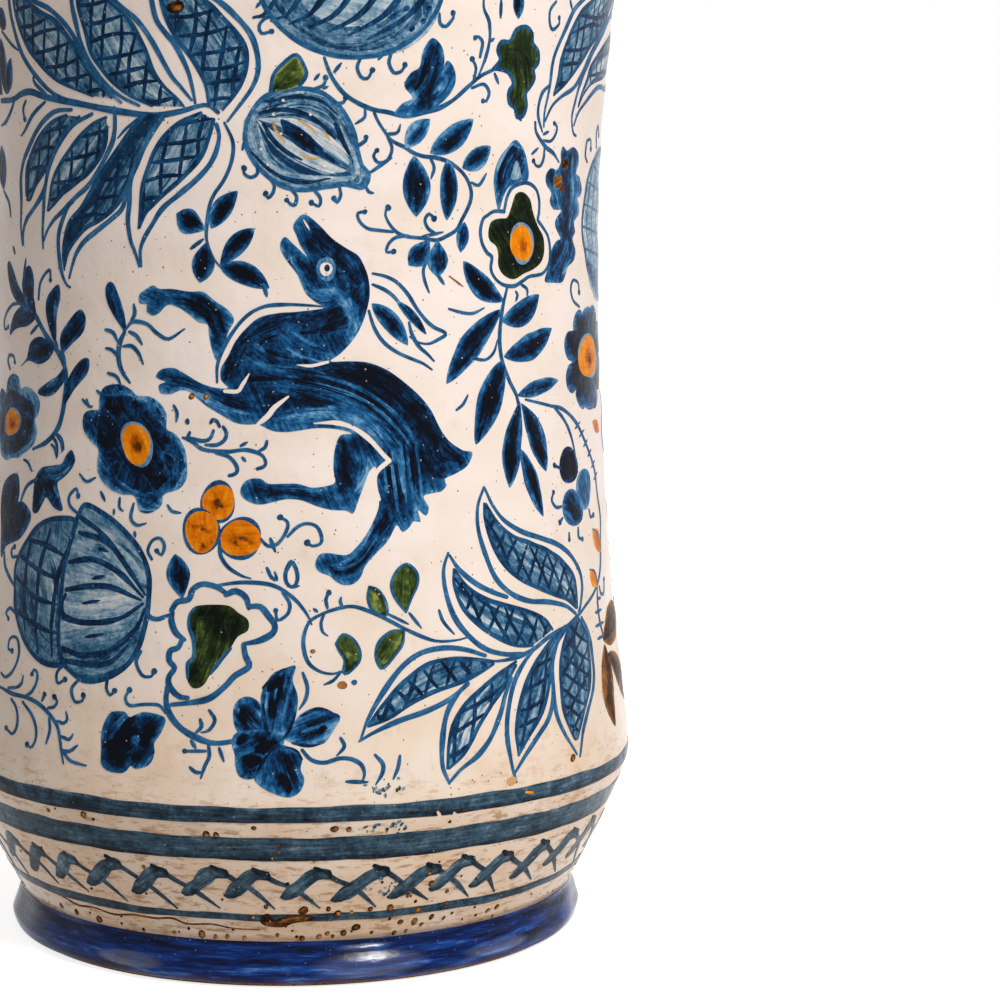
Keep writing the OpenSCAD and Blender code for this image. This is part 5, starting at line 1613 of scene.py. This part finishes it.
# Each sag's place round the foot, height, reach sideways and reach upwards in millimetres, then how far it
# stands out in metres.
SAGS = ((17, 4.6, 13, 2.5, 0.001), (15, 8.2, 6, 0.5, 0.00025), (-42, 4.2, 9, 1.6, 0.0004),
        (52, 4.0, 10, 1.6, 0.0004), (140, 4.4, 10, 1.6, 0.0005), (230, 4.2, 12, 1.6, 0.0005))


def sag_share(angle, z, place, low, wide, tall):
    """How near a point lies to the middle of a sag, from 0 to 1."""
    return np.exp(-((angle * SHEET_R * 1000 - place) / wide) ** 2 - ((z * 1000 - low) / tall) ** 2)


def foot_face(angle, z, inward):
    """Points on the foot's coat: the thrown outline with brush ridges, lumps, and sags of run colour."""
    out = sum(size * np.sin(times_round * angle + rise * z + start)
              for size, times_round, rise, start in lumps + ridges)
    out = out + sum(size * sag_share(angle, z, *sag) for *sag, size in SAGS)
    ends = np.clip(np.minimum(z - foot_low, foot_high - z) / 0.0012, 0, 1)
    r = np.interp(z, foot_heights, foot_radii) + out * ends - inward
    return np.stack((r * np.sin(angle), -r * np.cos(angle), np.broadcast_to(z, angle.shape)), -1)


FOOT_STEPS = 480
foot_angles = (np.arange(FOOT_STEPS) / FOOT_STEPS) * 2 * math.pi - 1.2
foot_rows = np.linspace(foot_low, foot_high, 37)
foot_coat = closed_ring_mesh("foot_coat", [foot_face(foot_angles, z, 0.0) for z in foot_rows]
                             + [foot_face(foot_angles, z, COAT) for z in foot_rows[::-1]], FOOT_STEPS)
sag_shares = [np.max([sag_share(foot_angles, z, *sag) for *sag, size in SAGS], axis=0) for z in foot_rows]
pooled = np.concatenate(sag_shares + sag_shares[::-1]).astype(np.float32)
foot_coat.data.attributes.new("pooled", "FLOAT", "POINT").data.foreach_set("value", pooled)

cobalt_coat, tree, shader, where = new_material("cobalt_coat", Specular_IOR_Level=0.08, Coat_Roughness=0.1)
glassy = clamped(tree, add_node(tree, "Attribute", attribute_name="pooled").outputs["Fac"], 0.25, 0.55)
tree.links.new(glassy, shader.inputs["Coat Weight"])
dirt = placed_group(tree, grit, {"Place": where, "Speck size": 500.0, "Amount": 0.2})
height = add_node(tree, "SeparateXYZ", {"Vector": where}).outputs["Z"]
brush_round = add_node(tree, "Mapping", {"Vector": where, "Scale": (0.5, 0.5, 5.0)}).outputs[0]
gathered = clamped(tree, height, 0.001, 0.010, -0.03, 0.06)
coat_thick = combined(tree, "ADD", noise(tree, brush_round, 130.0, 8.0, 0.7), gathered)
coat_colour = ramp(tree, coat_thick, [(0.34, (84, 120, 168)), (0.43, (20, 64, 140)), (0.53, (6, 30, 84)),
                                      (0.66, (4, 9, 24))])
scratches = clamped(tree, noise(tree, where, 420.0, 8.0, 0.75), 0.62, 0.74, 0.0, 0.5)
coat_colour = mixed(tree, scratches, coat_colour, shade(104, 110, 140))
rubbed = clamped(tree, height, 0.0026, 0.001)
worn = combined(tree, "MULTIPLY", rubbed, clamped(tree, dirt["Clouds"], 0.3, 0.8))
coat_colour = mixed(tree, worn, coat_colour, shade(78, 52, 40))
coat_colour = mixed(tree, combined(tree, "MULTIPLY", dirt["Specks"], 0.5), coat_colour, shade(96, 116, 160))
tree.links.new(coat_colour, shader.inputs["Base Color"])
tree.links.new(clamped(tree, dirt["Clouds"], 0.0, 1.0, 0.08, 0.2), shader.inputs["Roughness"])
drag = add_node(tree, "Mapping", {"Vector": where, "Scale": (1.0, 1.0, 3.0)}).outputs[0]
crinkles = raise_surface(tree, shader, noise(tree, drag, 380.0, 6.0, 0.65), 0.0001)
tree.links.new(crinkles, shader.inputs["Coat Normal"])
foot_coat.data.materials.append(cobalt_coat)
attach(foot_coat, "root")
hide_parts("foot_glaze")
dressed("rim_glaze", cobalt_coat)


# The set
# A plain pale floor that runs to a white distance, a large soft lamp high at the right front, and the camera
# a little above the waist, looking down at the jar from close by.

FLOOR = 6.0
FLOOR_GLOW = 0.80
SKY_LIGHT = 0.25
LAMP_PLACE = Vector((0.78, -1.13, 1.25))
LAMP_AIM = Vector((0, 0, 0.13))
LAMP_WIDE = 0.55
LAMP_WATTS = 24.6


def seen_by_eye(tree):
    """1 for rays from the camera, or sent on by a glossy or clear surface, and 0 for the light's own rays."""
    rays = add_node(tree, "LightPath").outputs
    sent_on = combined(tree, "MAXIMUM", rays["Is Glossy Ray"], rays["Is Transmission Ray"])
    return combined(tree, "MAXIMUM", rays["Is Camera Ray"], sent_on)


floor_mesh = bpy.data.meshes.new("studio_floor")
floor_corners = [(-FLOOR, -FLOOR, 0), (FLOOR, -FLOOR, 0), (FLOOR, FLOOR, 0), (-FLOOR, FLOOR, 0)]
floor_mesh.from_pydata(floor_corners, [], [(0, 1, 2, 3)])
studio_floor = bpy.data.objects.new("studio_floor", floor_mesh)
bpy.context.scene.collection.objects.link(studio_floor)
studio_floor.location.z = -0.0002
floor_look, tree, shader, where = new_material("pale_floor", Roughness=0.9, Specular_IOR_Level=0.1)
shader.inputs["Base Color"].default_value = shade(238, 234, 230)
shader.inputs["Emission Color"].default_value = (1, 1, 1, 1)
floor_glow = combined(tree, "MULTIPLY", seen_by_eye(tree), FLOOR_GLOW)
tree.links.new(floor_glow, shader.inputs["Emission Strength"])
floor_mesh.materials.append(floor_look)

world = bpy.data.worlds.new("white_distance")
bpy.context.scene.world = world
world.use_nodes = True
tree = world.node_tree
sky = tree.nodes["Background"]
sky.inputs["Color"].default_value = (1, 1, 1, 1)
sky_light = clamped(tree, seen_by_eye(tree), 0.0, 1.0, SKY_LIGHT, 1.0)
tree.links.new(sky_light, sky.inputs["Strength"])

lamp = bpy.data.lights.new("high_lamp", "AREA")
lamp.shape = "DISK"
lamp.size = LAMP_WIDE
lamp.energy = LAMP_WATTS
lamp_stand = bpy.data.objects.new("high_lamp", lamp)
bpy.context.scene.collection.objects.link(lamp_stand)
lamp_stand.location = LAMP_PLACE
lamp_stand.rotation_euler = (LAMP_AIM - LAMP_PLACE).to_track_quat("-Z", "Y").to_euler()

EYE = Vector((0, -0.600, 0.1615))
PITCH, YAW, ROLL = (math.radians(v) for v in (5.94, 4.61, 0.34))
ahead = Vector((math.sin(YAW) * math.cos(PITCH), math.cos(YAW) * math.cos(PITCH), -math.sin(PITCH)))
across = Vector((math.cos(YAW), -math.sin(YAW), 0))
upward = across.cross(ahead)
camera_x = across * math.cos(ROLL) + upward * math.sin(ROLL)
camera_y = upward * math.cos(ROLL) - across * math.sin(ROLL)
camera_data = bpy.data.cameras.new("camera")
camera_data.sensor_width = 36.0
camera_data.lens = 90.94
camera_data.clip_start = 0.02
camera_data.clip_end = 50.0
camera = bpy.data.objects.new("camera", camera_data)
bpy.context.scene.collection.objects.link(camera)
facing = Matrix((camera_x, camera_y, -ahead)).transposed().to_4x4()
camera.matrix_world = Matrix.Translation(EYE) @ facing
bpy.context.scene.camera = camera
bpy.context.scene.view_settings.view_transform = "Standard"
